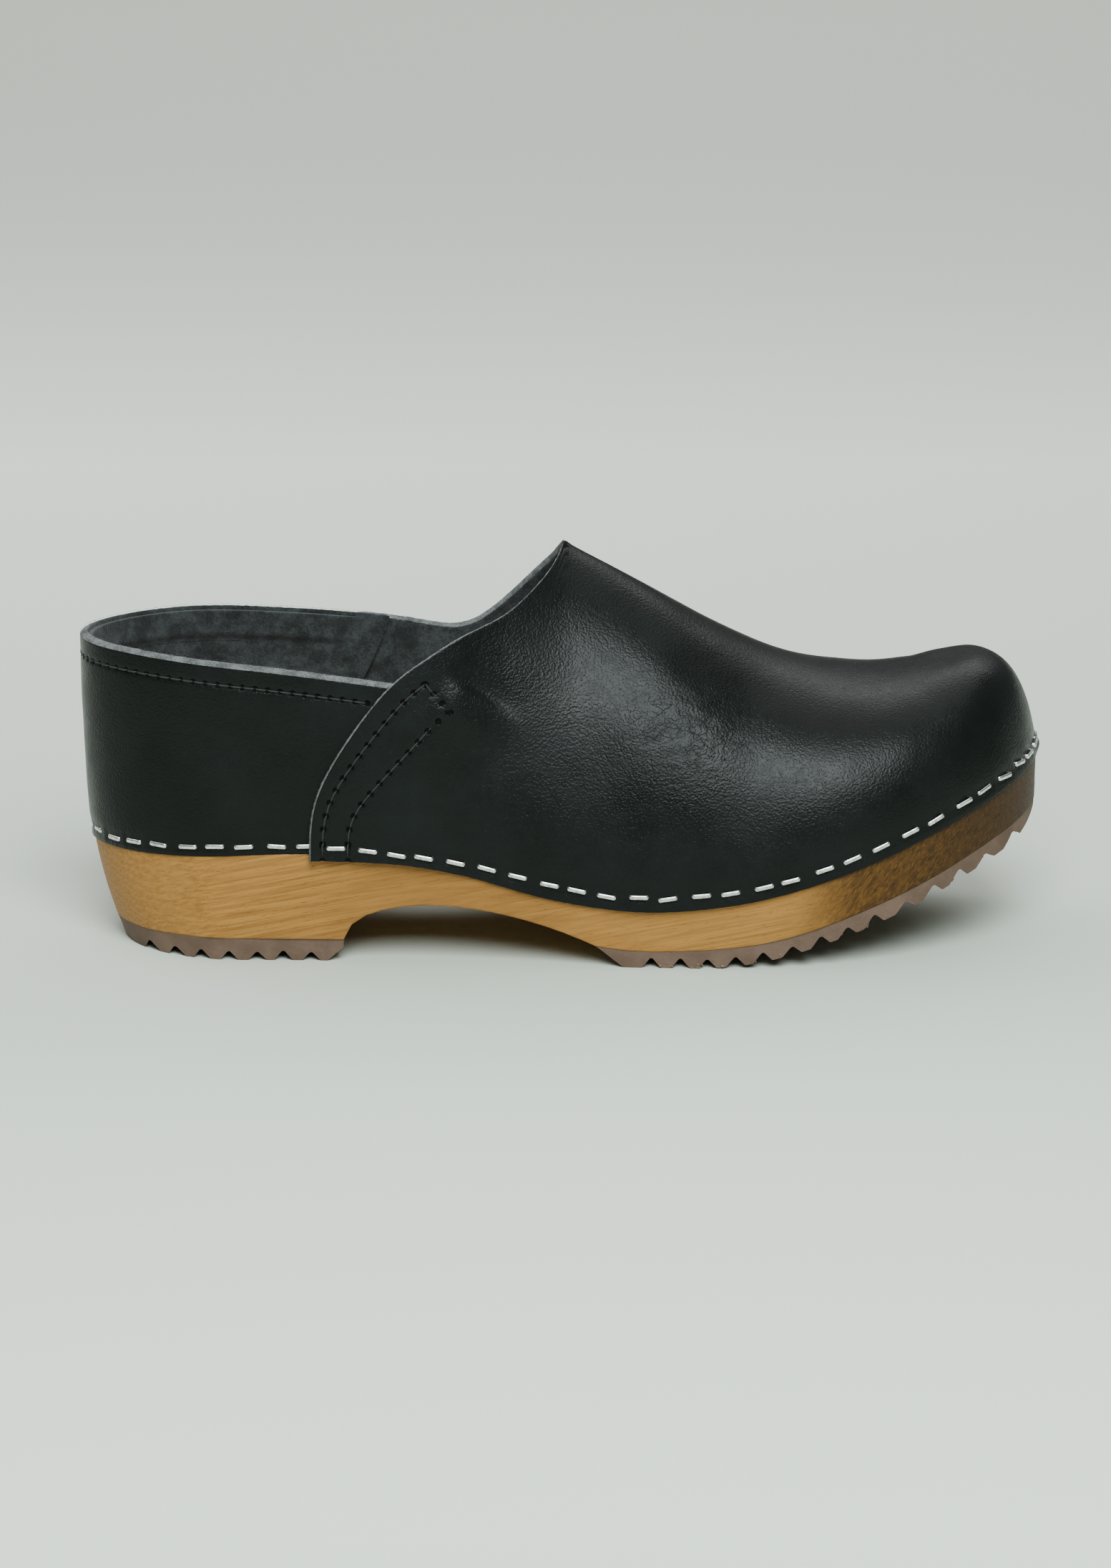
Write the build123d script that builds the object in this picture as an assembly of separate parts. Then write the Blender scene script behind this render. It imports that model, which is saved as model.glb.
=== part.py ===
from build123d import *
import math
import os

# A right-foot clog: an alder sole, two rubber treads and a stapled leather upper.
# While modelling, x runs from the back of the heel to the toe, +y is the inner (big toe)
# side and z = 0 is the floor. The finished parts are moved so that the origin is the
# middle of the footprint. All sizes are millimetres.

# ---- driving dimensions: plan of the sole ----
SOLE_BACK_X = 3.5          # back of the wood where it meets the leather
HEEL_X = 46.0              # end of the round heel
BALL_X = 185.0             # widest point, across the ball of the foot
TOE_TIP_X = 262.2
TOE_TIP_Y = 12.0           # the tip leans towards the big toe
HEEL_HALF = {"outer": 34.0, "inner": 31.5}
BALL_HALF = {"outer": 42.5, "inner": 46.5}
WAIST_END_X = {"outer": 46.0, "inner": 80.0}
TOE_POWER = {"outer": 2.0, "inner": 2.3}
SIGN = {"outer": -1.0, "inner": 1.0}

# ---- heights along the shoe, as (x, z) knots ----
LEATHER_EDGE = [(0, 28.2), (30, 29.2), (60, 30.3), (82, 29.6), (105, 25.5), (130, 19.0), (155, 16.3),
                (180, 18.8), (205, 25.4), (232, 35.6), (248, 42.2), (262, 47.5)]
WOOD_BOTTOM = [(141, 5.9), (152, 4.7), (165, 4.9), (185, 7.0), (209, 14.0), (228, 21.4), (246, 29.2),
               (262, 35.6)]
PAST_TOE_X, PAST_TOE_RISE = 290.0, 6.0         # where the wood's underside is carried on to, past the toe
ARCH = [(73, 6.2), (75.5, 10.8), (84, 14.9), (98, 16.4), (115, 14.5), (130, 10.4), (141, 5.9)]
TOPLINE = {"outer": [(-5, 84.2), (5, 84.2), (16, 83.8), (30, 82.8), (50, 80.8), (68, 78.7), (87, 76.4),
                     (112, 73.5)],
           "inner": [(-5, 84.2), (5, 84.2), (16, 84.5), (30, 84.7), (50, 84.0), (68, 82.9), (87, 81.0),
                     (112, 77.0)]}
RIDGE = [(133, 107.3), (145, 100.7), (157, 93.8), (170, 86.1), (183, 79.2), (194, 74.6), (206, 71.7),
         (220, 70.7), (236, 73.6), (246, 76.1), (263, 77.0)]
THROAT = {"outer": [(64.5, 22), (64.5, 30), (65.9, 44.4), (69.9, 53.9), (75.2, 62.5), (81.3, 70.9),
                    (88, 78.2), (95.5, 83.6), (107, 89.8), (116, 93.4), (124.2, 99.2), (129.6, 104.4),
                    (132.8, 109)],
          "inner": [(43, 22), (43.5, 30), (47, 45), (54, 60), (62, 73), (68, 79.4), (74, 81.8), (82, 81.4),
                    (92, 80.0), (101, 79.0), (106, 80.0), (112, 83.8), (119, 90.6), (126, 98.6),
                    (131, 105.2), (132.8, 109)]}
QUARTER_FRONT = {"outer": [(81, 22), (83.5, 38), (88, 52), (93, 64), (101, 82)],
                 "inner": [(60, 22), (66, 45), (76, 63), (86, 88)]}

# ---- upper ----
LEATHER = 2.2              # thickness of the vamp and the quarter
QUARTER_PROUD = 0.4        # outer face of the quarter, outside the wood
VAMP_PROUD = 0.8           # outer face of the vamp in front of the lap
LAP_RISE = 1.9             # extra height of the vamp where it lies on the quarter
LAP_END_X, LAP_FADE = 90.0, 22.0
DOME_X = 225.0             # from here forward the toe is a dome
DOME_HANG = 60.0           # depth below the floor of the line that the dome's sections share
TIP_FLAT, TIP_DROP = 5.4, 2.0    # the toe box over the tip: flat on top, then a steep front
TIP_REACH = (7.0, 34.0)    # where the tip's shape begins and is complete, in front of DOME_X
TIP_SET_BACK, TIP_FLARE = 0.03, 30.0    # the front stands back by this share, and flares out at its foot
HEEL_LEAN = 1.9            # the back of the quarter leans in by this much at the wood
HEEL_GAP = 0.3             # the quarter's back stands this far outside the wood's
RIM_Z, HEEL_CURVE_TALL = 84.0, 56.0
WALL_FOOT, WALL_REACH = 30.0, 160.0    # height where the quarter's walls start to lean, and would meet
BAND_THICK, BAND_TALL = 1.2, 9.0
BAND_DROP = 0.4            # the band's top edge stops this far below the rim
BAND_SHORT = 7.0           # the band ends this far behind the quarter's front edges
SPINE_Y = (3.0, 11.0)      # y of the spine, over the heel and over the toe
SPINE_LIMIT = 190.0        # the spine's virtual height behind the throat stops climbing here
ARCH_POWER = 1.75          # squareness of the cross-section at the throat
ARCH_POWER_STEPS = (0.2, 0.35, 0.75)    # added behind the throat, in front of it, and over the toe
QUARTER_END_X = 112.0      # where the quarter's walls are cut off before they are trimmed
SPLIT_Y = 4.0              # the vamp's two sides have their own throat lines and meet here
HALVES = {"outer": (-70.0, 0.0), "inner": (0.0, 70.0)}

# ---- sole ----
RIM_RISE = 12.0            # the wood's rim stands this far above the leather's lower edge
FOOTBED = [(-6, 3.5), (25, 4.5), (60, 3.5), (95, 2.0), (130, 2.5), (175, 3.0), (215, 2.5), (268, 1.5)]
FOOTBED_EDGE = 2.2         # rise of the footbed's side; FOOTBED holds (x, depth of its middle)
HEEL_TREAD_TOP = 6.2
HEEL_TAPER = 8.0           # the heel's back slopes in by this much down to the tread
SIDE_TAPER = 2.0
FOREPART_TREAD_THICK = 5.2
HEEL_TREAD_BEVEL = (4.5, 4.0)    # the heel tread's front edge slopes back by this, up to this height
HEEL_GROOVES, HEEL_GROOVE_START = 7, 8.5    # the first one this far behind the tread's front
FOREPART_GROOVES, FOREPART_GROOVE_START = 14, 155.5
TOE_WEAR_X, TOE_WEAR = 254.0, 0.06    # the tread is rounded off in front of this x
TOOTH_PITCH = 7.6
GROOVE_DEPTH, GROOVE_WIDTH, GROOVE_FLOOR = 2.7, 5.2, 0.8

# ---- staples and thread ----
STAPLE_PITCH = 8.1
STAPLE_HEIGHT, VAMP_STAPLE_LIFT = 2.5, 1.2    # above the leather's edge; more in front of the lap
TOE_TUCK, TOE_TUCK_X = 0.35, (240.0, 255.0)    # the leather leans in by this much at the toe's staples
CROWN_LONG, CROWN_WIDE, WIRE = 5.3, 1.2, 0.55
LEG_LONG = 8.0
THREAD, STITCH = 0.7, 2.3
SEAM_PITCH, TOPLINE_PITCH = 3.7, 3.3
SEAM_ROWS = ((3.2, 5.2), (10.0, 15.2))    # distance from the vamp's back edge at the wood and at the top
SEAM_TOP = {"outer": (77.5, 69.8), "inner": (74.0, 67.0)}
SEAM_END_X = {"outer": 106.0, "inner": 80.0}
TOPLINE_ROW = 5.4          # distance of the topline row below the rim
TOPLINE_ROW_END = {"outer": 80.0, "inner": 58.0}


def smooth(t):
    t = min(max(t, 0.0), 1.0)
    return t * t * (3 - 2 * t)


def curve(knots):
    """Height as a smooth function of x through the knots, running on straight past both ends."""
    last = len(knots) - 1
    slopes = []
    for i in range(last + 1):
        (x0, z0), (x1, z1) = knots[max(i - 1, 0)], knots[min(i + 1, last)]
        slopes.append((z1 - z0) / (x1 - x0))

    def at(x):
        if x <= knots[0][0]:
            return knots[0][1] + slopes[0] * (x - knots[0][0])
        if x >= knots[last][0]:
            return knots[last][1] + slopes[last] * (x - knots[last][0])
        i = max(k for k in range(last) if knots[k][0] <= x)
        (x0, z0), (x1, z1) = knots[i], knots[i + 1]
        step = x1 - x0
        t = (x - x0) / step
        rise = (2 * t**3 - 3 * t**2 + 1) * z0 + (3 * t**2 - 2 * t**3) * z1
        return rise + step * ((t**3 - 2 * t**2 + t) * slopes[i] + (t**3 - t**2) * slopes[i + 1])

    return at


leather_edge = curve(LEATHER_EDGE)
ridge_knots = curve(RIDGE)
topline = {side: curve(TOPLINE[side]) for side in SIGN}


def half_width(x, side, grow=0.0):
    """Distance of the outline from y = 0 between the round heel and the ball."""
    start = WAIST_END_X[side]
    wide = HEEL_HALF[side] + (BALL_HALF[side] - HEEL_HALF[side]) * smooth((x - start) / (BALL_X - start))
    return wide + grow


def outline_y(x, side, grow=0.0, back=SOLE_BACK_X):
    """y of the plan outline at x, on one side."""
    if x < HEEL_X:
        u = min((HEEL_X - x) / (HEEL_X - back + grow), 1.0)
        return SIGN[side] * half_width(HEEL_X, side, grow) * math.sqrt(1 - u * u)
    if x <= BALL_X:
        return SIGN[side] * half_width(x, side, grow)
    power = TOE_POWER[side]
    u = min((x - BALL_X) / (TOE_TIP_X + grow - BALL_X), 1.0)
    reach = BALL_HALF[side] + grow - SIGN[side] * TOE_TIP_Y
    return TOE_TIP_Y + SIGN[side] * reach * (1 - u**power) ** (1 / power)


def outline_x(y, grow=0.0):
    """x of the toe's outline at y."""
    side = "outer" if y < TOE_TIP_Y else "inner"
    power = TOE_POWER[side]
    reach = BALL_HALF[side] + grow - SIGN[side] * TOE_TIP_Y
    v = min(abs(y - TOE_TIP_Y) / reach, 1.0)
    return BALL_X + (TOE_TIP_X + grow - BALL_X) * (1 - v**power) ** (1 / power)


def plan_points(grow=0.0, back=SOLE_BACK_X, heel_steps=5, toe_steps=6):
    """Points round the whole outline: outer side from heel to toe, then back along the inner side."""
    points = []
    for side in ("outer", "inner"):
        run = []
        for k in range(1, heel_steps):
            angle = math.pi / 2 * k / heel_steps
            run.append(HEEL_X - (HEEL_X - back + grow) * math.cos(angle))
        run += [HEEL_X, 80, 115, 150, BALL_X]
        for k in range(1, toe_steps):
            run.append(BALL_X + (TOE_TIP_X + grow - BALL_X) * math.sin(math.pi / 2 * k / toe_steps))
        half = [(x, outline_y(x, side, grow, back)) for x in run]
        if side == "outer":
            points += [(back - grow, 0.0)] + half + [(TOE_TIP_X + grow, TOE_TIP_Y)]
        else:
            points += half[::-1]
    return points


def plan_wire(z, grow=0.0, back=SOLE_BACK_X):
    points = [(x, y, z) for x, y in plan_points(grow, back)]
    count = len(points)
    return Wire([Edge.make_spline(points, periodic=True, parameters=[k / count for k in range(count + 1)])])


def side_block(profile, low_y=-70.0, high_y=70.0):
    """The solid across the shoe whose side view is the polygon profile, given as (x, z) points."""
    wire = Wire.make_polygon([(x, low_y, z) for x, z in profile], close=True)
    return Solid.extrude(Face(wire), Vector(0, high_y - low_y, 0))


def sampled(knots, count):
    """Points on the smooth side-view curve through knots, evenly spread by knot."""
    edge = Edge.make_spline([(x, 0, z) for x, z in knots])
    return [(p.X, p.Z) for p in (edge @ (k / (count - 1)) for k in range(count))]


# ---------------------------------------------------------------- the foot-shaped surface


def ridge(x):
    """Height of the upper's spine. Behind the throat it climbs away, so the walls turn upright."""
    first_x, first_z = RIDGE[0]
    if x >= first_x:
        return ridge_knots(x)
    back = first_x - x
    return min(first_z + 0.6 * back + 0.025 * back**2, SPINE_LIMIT + 0.1 * back)


def spine_y(x):
    return SPINE_Y[0] + (SPINE_Y[1] - SPINE_Y[0]) * smooth((x - 150.0) / 75.0)


def arch_power(x):
    """Squareness of the cross-section: a soft peak over the instep, a full box at the toe."""
    behind, front, toe = ARCH_POWER_STEPS
    return (ARCH_POWER + front * smooth((x - 133.0) / 40.0) + toe * smooth((x - 180.0) / 45.0)
            + behind * smooth((118.0 - x) / 25.0))


def section_height(x, lean, grow, tip=0.0):
    """Height of the surface where it is the fraction lean of the way out. tip is 1 in line with the toe."""
    low = leather_edge(x)
    flat = arch_power(x) * (1 - tip) + TIP_FLAT * tip
    drop = arch_power(x) * (1 - tip) + TIP_DROP * tip
    out = min(lean * (1 + TIP_SET_BACK * tip * (1 - min(lean, 1.0) ** TIP_FLARE)), 1.0)
    return low + (ridge(x) + grow - low) * (1 - out**flat) ** (1 / drop)


def surface_z(x, y, grow):
    """Height of the upper's surface over (x, y). grow moves it outwards along its normal, nearly."""
    if x <= DOME_X:
        side = "outer" if y < spine_y(x) else "inner"
        lean = abs(y - spine_y(x)) / abs(outline_y(x, side, grow) - spine_y(x))
        return section_height(x, lean, grow)
    lean = dome_fraction(x, y, grow)
    rim_reach = (x - DOME_X) / max(lean, 1e-6)
    return section_height(x, lean, grow, smooth((rim_reach - TIP_REACH[0]) / (TIP_REACH[1] - TIP_REACH[0])))


def dome_fraction(x, y, grow):
    """How far (x, y) lies from the dome's middle towards the toe's outline, 0 to 1."""
    middle_y = spine_y(DOME_X)
    low, high = 0.0, 1.5
    for _ in range(30):
        mid = (low + high) / 2
        px, py = DOME_X + (x - DOME_X) / max(mid, 1e-6), middle_y + (y - middle_y) / max(mid, 1e-6)
        side = "outer" if py < TOE_TIP_Y else "inner"
        inside = px < TOE_TIP_X + grow and abs(py - TOE_TIP_Y) < abs(outline_y(px, side, grow) - TOE_TIP_Y)
        if inside:
            high = mid
        else:
            low = mid
    return high


def flank_y(x, z, side, grow):
    """y of the upper's surface at (x, z), on one side of the spine."""
    power, low = arch_power(x), leather_edge(x)
    rise = min(max((z - low) / (ridge(x) + grow - low), 0.0), 1.0)
    lean = (1 - rise**power) ** (1 / power)
    return spine_y(x) + (outline_y(x, side, grow) - spine_y(x)) * lean


def even_points(points, count):
    """The same line, divided into count points at equal distances."""
    lengths = [0.0]
    for a, b in zip(points, points[1:]):
        lengths.append(lengths[-1] + math.dist(a, b))
    result, i = [], 0
    for k in range(count):
        target = lengths[-1] * k / (count - 1)
        while i < len(points) - 2 and lengths[i + 1] < target:
            i += 1
        t = (target - lengths[i]) / max(lengths[i + 1] - lengths[i], 1e-9)
        result.append(tuple(a + (b - a) * min(t, 1.0) for a, b in zip(points[i], points[i + 1])))
    return result


def upright_section(x, grow):
    """The upper's section by the plane at x: up the outer wall, over the spine, down the inner wall."""
    points = [(x, outline_y(x, "outer", grow), 0.0)]
    for k in range(-40, 41):
        side = "outer" if k < 0 else "inner"
        lean = math.sin(abs(k) / 40 * math.pi / 2)
        y = spine_y(x) + (outline_y(x, side, grow) - spine_y(x)) * lean
        points.append((x, y, section_height(x, lean, grow)))
    points.append((x, outline_y(x, "inner", grow), 0.0))
    return points


def tilted_section(slope, grow):
    """The toe's section by a plane that leans forward; all such planes share one line under the floor."""
    end_x = DOME_X + DOME_HANG * slope
    ends = [outline_y(end_x, side, grow) for side in ("outer", "inner")]
    middle, reach = sum(ends) / 2, (ends[1] - ends[0]) / 2
    points = []
    for k in range(-40, 41):
        y = middle + reach * math.sin(k / 40 * math.pi / 2)
        rim = outline_x(y, grow)
        if (rim - DOME_X) <= (leather_edge(rim) + DOME_HANG) * slope:
            points.append((rim, y, max((rim - DOME_X) / slope - DOME_HANG, 0.0)))
            continue
        low, high = DOME_X, rim
        for _ in range(40):
            x = (low + high) / 2
            if (x - DOME_X) < (surface_z(x, y, grow) + DOME_HANG) * slope:
                low = x
            else:
                high = x
        points.append((low, y, (low - DOME_X) / slope - DOME_HANG))
    return points


def lap_rise(x):
    return LAP_RISE * (1 - smooth((x - LAP_END_X) / LAP_FADE))


def foot_solid(grow, with_lap):
    """The solid under the upper's surface, from the floor up and from mid-heel to the toe."""
    sections = []
    for x in (38, 50, 62, 74, 86, 98, 110, 122, 134, 146, 158, 170, 182, 194, 205, 215, DOME_X):
        extra = lap_rise(x) if with_lap else 0.0
        sections.append(upright_section(x, grow + extra))
    for slope in (0.07, 0.13, 0.18, 0.22, 0.26, 0.30, 0.35, 0.41, 0.48):
        sections.append(tilted_section(slope, grow))
    wires = []
    for section in sections:
        points = even_points(section, 19)
        top = Edge.make_spline(points, parameters=[k / 18 for k in range(19)])
        wires.append(Wire([top, Edge.make_line(points[-1], points[0])]))
    return Solid.make_loft(wires)


def heel_outline(z, grow):
    """The quarter's U-shaped outline at height z, from the outer side round the heel to the inner side."""
    back = SOLE_BACK_X - HEEL_LEAN * (1 - max((RIM_Z - z) / HEEL_CURVE_TALL, 0.0) ** 3) - HEEL_GAP
    pull = math.sqrt(1 - max((z - WALL_FOOT) / WALL_REACH, 0.0) ** 2)
    straight = [QUARTER_END_X, 95.0, 78.0, 62.0, HEEL_X]
    angles = [math.pi / 2 * k / 6 for k in range(5, 0, -1)]
    run = straight + [HEEL_X - (HEEL_X - back + grow) * math.cos(a) for a in angles]
    halves = {side: [(x, outline_y(x, side, grow, back) * pull) for x in run] for side in SIGN}
    return halves["outer"] + [(back - grow, 0.0)] + halves["inner"][::-1]


def heel_solid(grow):
    """The solid inside the quarter's surface."""
    wires = []
    for z in (18.0, 32.0, 44.0, 58.0, 72.0, 88.0):
        points = [(x, y, z) for x, y in heel_outline(z, grow)]
        count = len(points)
        bend = Edge.make_spline(points, parameters=[k / (count - 1) for k in range(count)])
        wires.append(Wire([bend, Edge.make_line(points[-1], points[0])]))
    return Solid.make_loft(wires)


def vamp_region(side):
    """What the vamp keeps of its shell on one side: above its lower edge, in front of the throat line."""
    throat = sampled(THROAT[side], 30)
    bottom = [(x, leather_edge(x)) for x in [throat[0][0]] + list(range(50, 250, 6)) + [250, 256, 262, 268]
              if x >= throat[0][0]]
    above = [p for p in throat if p[1] > leather_edge(p[0])]
    beyond = [(134.5, 125.0), (290.0, 125.0), (290.0, leather_edge(290.0))]
    profile = [bottom[0]] + above + beyond + bottom[:0:-1]
    low, high = (-70.0, SPLIT_Y) if side == "outer" else (SPLIT_Y, 70.0)
    return side_block(profile, low, high)


def quarter_region(side, top_drop=0.0, tall=None, short=0.0):
    """What the quarter keeps of its shell on one side. tall limits it to a strip under the rim."""
    front = [(x - short, z) for x, z in sampled(QUARTER_FRONT[side], 14)]
    top = [(x, topline[side](x) - top_drop) for x in range(-5, 126, 6)]
    if tall:
        bottom = [(x, z - tall) for x, z in top]
    else:
        bottom = [(x, leather_edge(x)) for x in range(-5, 126, 6)]
    strip = side_block(top + bottom[::-1], *HALVES[side])
    behind = side_block([(-10.0, 10.0)] + front + [(-10.0, front[-1][1])], *HALVES[side])
    return strip & behind


def largest(shape):
    return max(shape.solids(), key=lambda s: s.volume)


def make_quarter():
    shell = heel_solid(QUARTER_PROUD) - heel_solid(QUARTER_PROUD - LEATHER)
    halves = [largest(shell & quarter_region(side)) for side in SIGN]
    return largest(halves[0] + halves[1])


def make_band():
    shell = heel_solid(QUARTER_PROUD - LEATHER) - heel_solid(QUARTER_PROUD - LEATHER - BAND_THICK)
    halves = [largest(shell & quarter_region(side, BAND_DROP, BAND_TALL, BAND_SHORT)) for side in SIGN]
    return largest(halves[0] + halves[1])


def make_vamp(quarter):
    shell = foot_solid(VAMP_PROUD, True) - foot_solid(VAMP_PROUD - LEATHER, True)
    halves = [largest(shell & vamp_region(side)) for side in SIGN]
    return largest(largest(halves[0] + halves[1]) - quarter)


def forepart_bottom():
    """Underside of the wood over the forepart tread, carried on past the toe."""
    run = sampled(WOOD_BOTTOM, 18)
    return run + [(PAST_TOE_X, run[-1][1] + PAST_TOE_RISE)]


def wood_bottom_profile():
    """Underside of the wood in side view, from the heel's back to past the toe."""
    return ([(-5.0, HEEL_TREAD_TOP), (60.0, HEEL_TREAD_TOP)] + sampled(ARCH, 16)
            + forepart_bottom()[1:])


def footbed_cutter():
    """Everything above the dished footbed."""
    wires = []
    for x, dish in FOOTBED:
        rim = leather_edge(x) + RIM_RISE
        low, high = rim - dish, rim + FOOTBED_EDGE
        arc = Edge.make_three_point_arc((x, -60, high), (x, 0, low), (x, 60, high))
        corners = [(x, 60, high), (x, 60, 160), (x, -60, 160), (x, -60, high)]
        wires.append(Wire([arc] + [Edge.make_line(a, b) for a, b in zip(corners, corners[1:])]))
    return Solid.make_loft(wires)


def sole_block():
    """The sole's plan shape from the floor up, narrower below, with the heel's back sloping in."""
    low = plan_wire(0.0, -SIDE_TAPER, SOLE_BACK_X + HEEL_TAPER - SIDE_TAPER)
    return Solid.make_loft([low, plan_wire(29.0), plan_wire(62.0)])


def make_wood(block, vamp, quarter):
    bottom = wood_bottom_profile()
    profile = [(-5.0, 100.0)] + bottom + [(PAST_TOE_X, 100.0)]
    body = block & side_block(profile)
    return largest(body - footbed_cutter() - vamp - quarter)


def groove(x, z):
    """A V-shaped groove across the tread, its mouth at (x, z)."""
    slope = (GROOVE_WIDTH - GROOVE_FLOOR) / 2 / GROOVE_DEPTH
    mouth, floor = GROOVE_WIDTH / 2 + slope, GROOVE_FLOOR / 2
    return side_block([(x - mouth, z - 1.0), (x + mouth, z - 1.0), (x + floor, z + GROOVE_DEPTH),
                       (x - floor, z + GROOVE_DEPTH)])


def make_heel_tread(block):
    front = ARCH[0][0]
    long, tall = HEEL_TREAD_BEVEL
    profile = [(-5.0, 0.0), (front - long, 0.0), (front, tall), (front, HEEL_TREAD_TOP),
               (-5.0, HEEL_TREAD_TOP)]
    tread = block & side_block(profile)
    for k in range(HEEL_GROOVES):
        tread -= groove(front - HEEL_GROOVE_START - k * TOOTH_PITCH, 0.0)
    return largest(tread)


def make_forepart_tread(block):
    wood_bottom = curve(WOOD_BOTTOM)

    def under(x):
        worn = min(TOE_WEAR * max(x - TOE_WEAR_X, 0.0) ** 2, FOREPART_TREAD_THICK - 1.0)
        return max(wood_bottom(x) - FOREPART_TREAD_THICK + worn, 0.0)

    bottom = [(x, under(x)) for x in range(148, 276, 5)]
    tread = block & side_block(forepart_bottom() + bottom[::-1])
    for k in range(FOREPART_GROOVES):
        x = FOREPART_GROOVE_START + k * TOOTH_PITCH
        tread -= groove(x, under(x))
    return largest(tread)


# ---------------------------------------------------------------- staples and thread


def perimeter_walk(pitch, grow):
    """Points at equal distances round the sole: (x, y, outward direction)."""
    points = [(x, y, 0.0) for x, y in plan_points(grow, heel_steps=14, toe_steps=18)]
    points.append(points[0])
    length = sum(math.dist(a, b) for a, b in zip(points, points[1:]))
    count = round(length / pitch)
    spots = even_points(points, 4 * count + 1)
    for k in range(count):
        before, (x, y, _), after = spots[4 * k + 1], spots[4 * k + 2], spots[4 * k + 3]
        along = Vector(after[0] - before[0], after[1] - before[1], 0).normalized()
        if HEEL_X < x < BALL_X:
            y = outline_y(x, "outer" if y < 0 else "inner", grow)
        yield x, y, along


def leather_proud(x, side):
    """How far the outermost leather stands outside the wood where it is stapled."""
    if x <= THROAT[side][1][0]:
        return QUARTER_PROUD
    return VAMP_PROUD + lap_rise(x) - TOE_TUCK * smooth((x - TOE_TUCK_X[0]) / (TOE_TUCK_X[1] - TOE_TUCK_X[0]))


def make_staple(x, y, along):
    """A wire staple: its crown flat on the leather, two legs straight into the wood."""
    side = "outer" if y < 0 else "inner"
    rise = (leather_edge(x + 1) - leather_edge(x - 1)) / 2 * along.X
    run = Vector(along.X, along.Y, rise).normalized()
    outward = Vector(along.Y, -along.X, 0)
    height = STAPLE_HEIGHT + VAMP_STAPLE_LIFT * smooth((x - LAP_END_X) / LAP_FADE)
    middle = Vector(x, y, leather_edge(x) + height) + outward * leather_proud(x, side)
    crown = Box(CROWN_LONG, WIRE, CROWN_WIDE, align=(Align.CENTER, Align.MAX, Align.CENTER))
    for end in (-1, 1):
        leg = Box(WIRE, LEG_LONG, CROWN_WIDE * 0.8, align=(Align.CENTER, Align.MIN, Align.CENTER))
        crown += Pos(end * (CROWN_LONG - WIRE) / 2, -WIRE, 0) * leg
    frame = Plane(origin=middle + outward * (WIRE - 0.1), x_dir=run, z_dir=run.cross(outward * -1))
    return frame.location * Pos(0, WIRE, 0) * crown


def make_staples():
    groups = {"quarter_staples": [], "vamp_staples": []}
    for x, y, along in perimeter_walk(STAPLE_PITCH, 0.0):
        side = "outer" if y < 0 else "inner"
        name = "vamp_staples" if x > THROAT[side][1][0] + 1.5 else "quarter_staples"
        groups[name].append(make_staple(x, y, along))
    return groups


def stitch(start, end):
    """One visible stitch, half sunk in the leather."""
    run = Vector(*end) - Vector(*start)
    return Solid.make_cylinder(THREAD / 2, STITCH, Plane(origin=Vector(*start), z_dir=run))


def stitches(line, pitch):
    """Stitches along a line of surface points."""
    length = sum(math.dist(a, b) for a, b in zip(line, line[1:]))
    count = round(length / pitch)
    spots = even_points(line, count + 1)
    return [stitch(a, b) for a, b in zip(spots, spots[1:])]


def seam_line(side, near, far, highest):
    """A row beside the vamp's back edge, from the wood up to the height where the two rows are joined."""
    throat = sampled(THROAT[side], 60)
    line = []
    for (x0, z0), (x1, z1) in zip(throat, throat[1:]):
        run = math.dist((x0, z0), (x1, z1))
        distance = near + (far - near) * smooth((z0 - 35.0) / 40.0)
        x, z = x0 + distance * (z1 - z0) / run, z0 - distance * (x1 - x0) / run
        if leather_edge(x) + 1.0 < z < highest and x0 < x < SEAM_END_X[side]:
            line.append((x, flank_y(x, z, side, VAMP_PROUD + lap_rise(x)), z))
    return line


def make_seam(side):
    rows = [seam_line(side, near, far, top) for (near, far), top in zip(SEAM_ROWS, SEAM_TOP[side])]
    bridge = [rows[0][-1], rows[1][-1]]
    return [piece for line in rows + [bridge] for piece in stitches(line, SEAM_PITCH)]


def make_topline_thread():
    line = []
    points = heel_outline(74.0, QUARTER_PROUD)
    for x, y in points:
        side = "outer" if y < 0 else "inner"
        line.append((x, y, topline[side](x) - TOPLINE_ROW))
    edge = Edge.make_spline(line)
    dense = [tuple(edge @ (k / 240)) for k in range(241)]
    shown = [p for p in dense if p[0] < TOPLINE_ROW_END["outer" if p[1] < 0 else "inner"]]
    return stitches(shown, TOPLINE_PITCH)


def build():
    block = sole_block()
    quarter = make_quarter()
    vamp = make_vamp(quarter)
    nodes = {
        "wood_sole": [make_wood(block, vamp, quarter)],
        "heel_tread": [make_heel_tread(block)],
        "forepart_tread": [make_forepart_tread(block)],
        "vamp": [vamp],
        "heel_quarter": [quarter],
        "topline_band": [make_band()],
        "outer_seam_thread": make_seam("outer"),
        "inner_seam_thread": make_seam("inner"),
        "topline_thread": make_topline_thread(),
    }
    nodes.update(make_staples())
    return {name: Compound(children=[largest(s) for s in shapes]) for name, shapes in nodes.items()}


def main():
    os.makedirs("parts", exist_ok=True)
    nodes = build()
    box = Compound(children=list(nodes.values())).bounding_box()
    to_origin = Location((-box.center().X, -box.center().Y, -box.min.Z))
    for name, shape in nodes.items():
        solids = [to_origin * s for s in shape.solids()]
        export_step(solids[0] if len(solids) == 1 else Compound(children=solids), f"parts/{name}.step")


if __name__ == "__main__":
    main()
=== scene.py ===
import math

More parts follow.
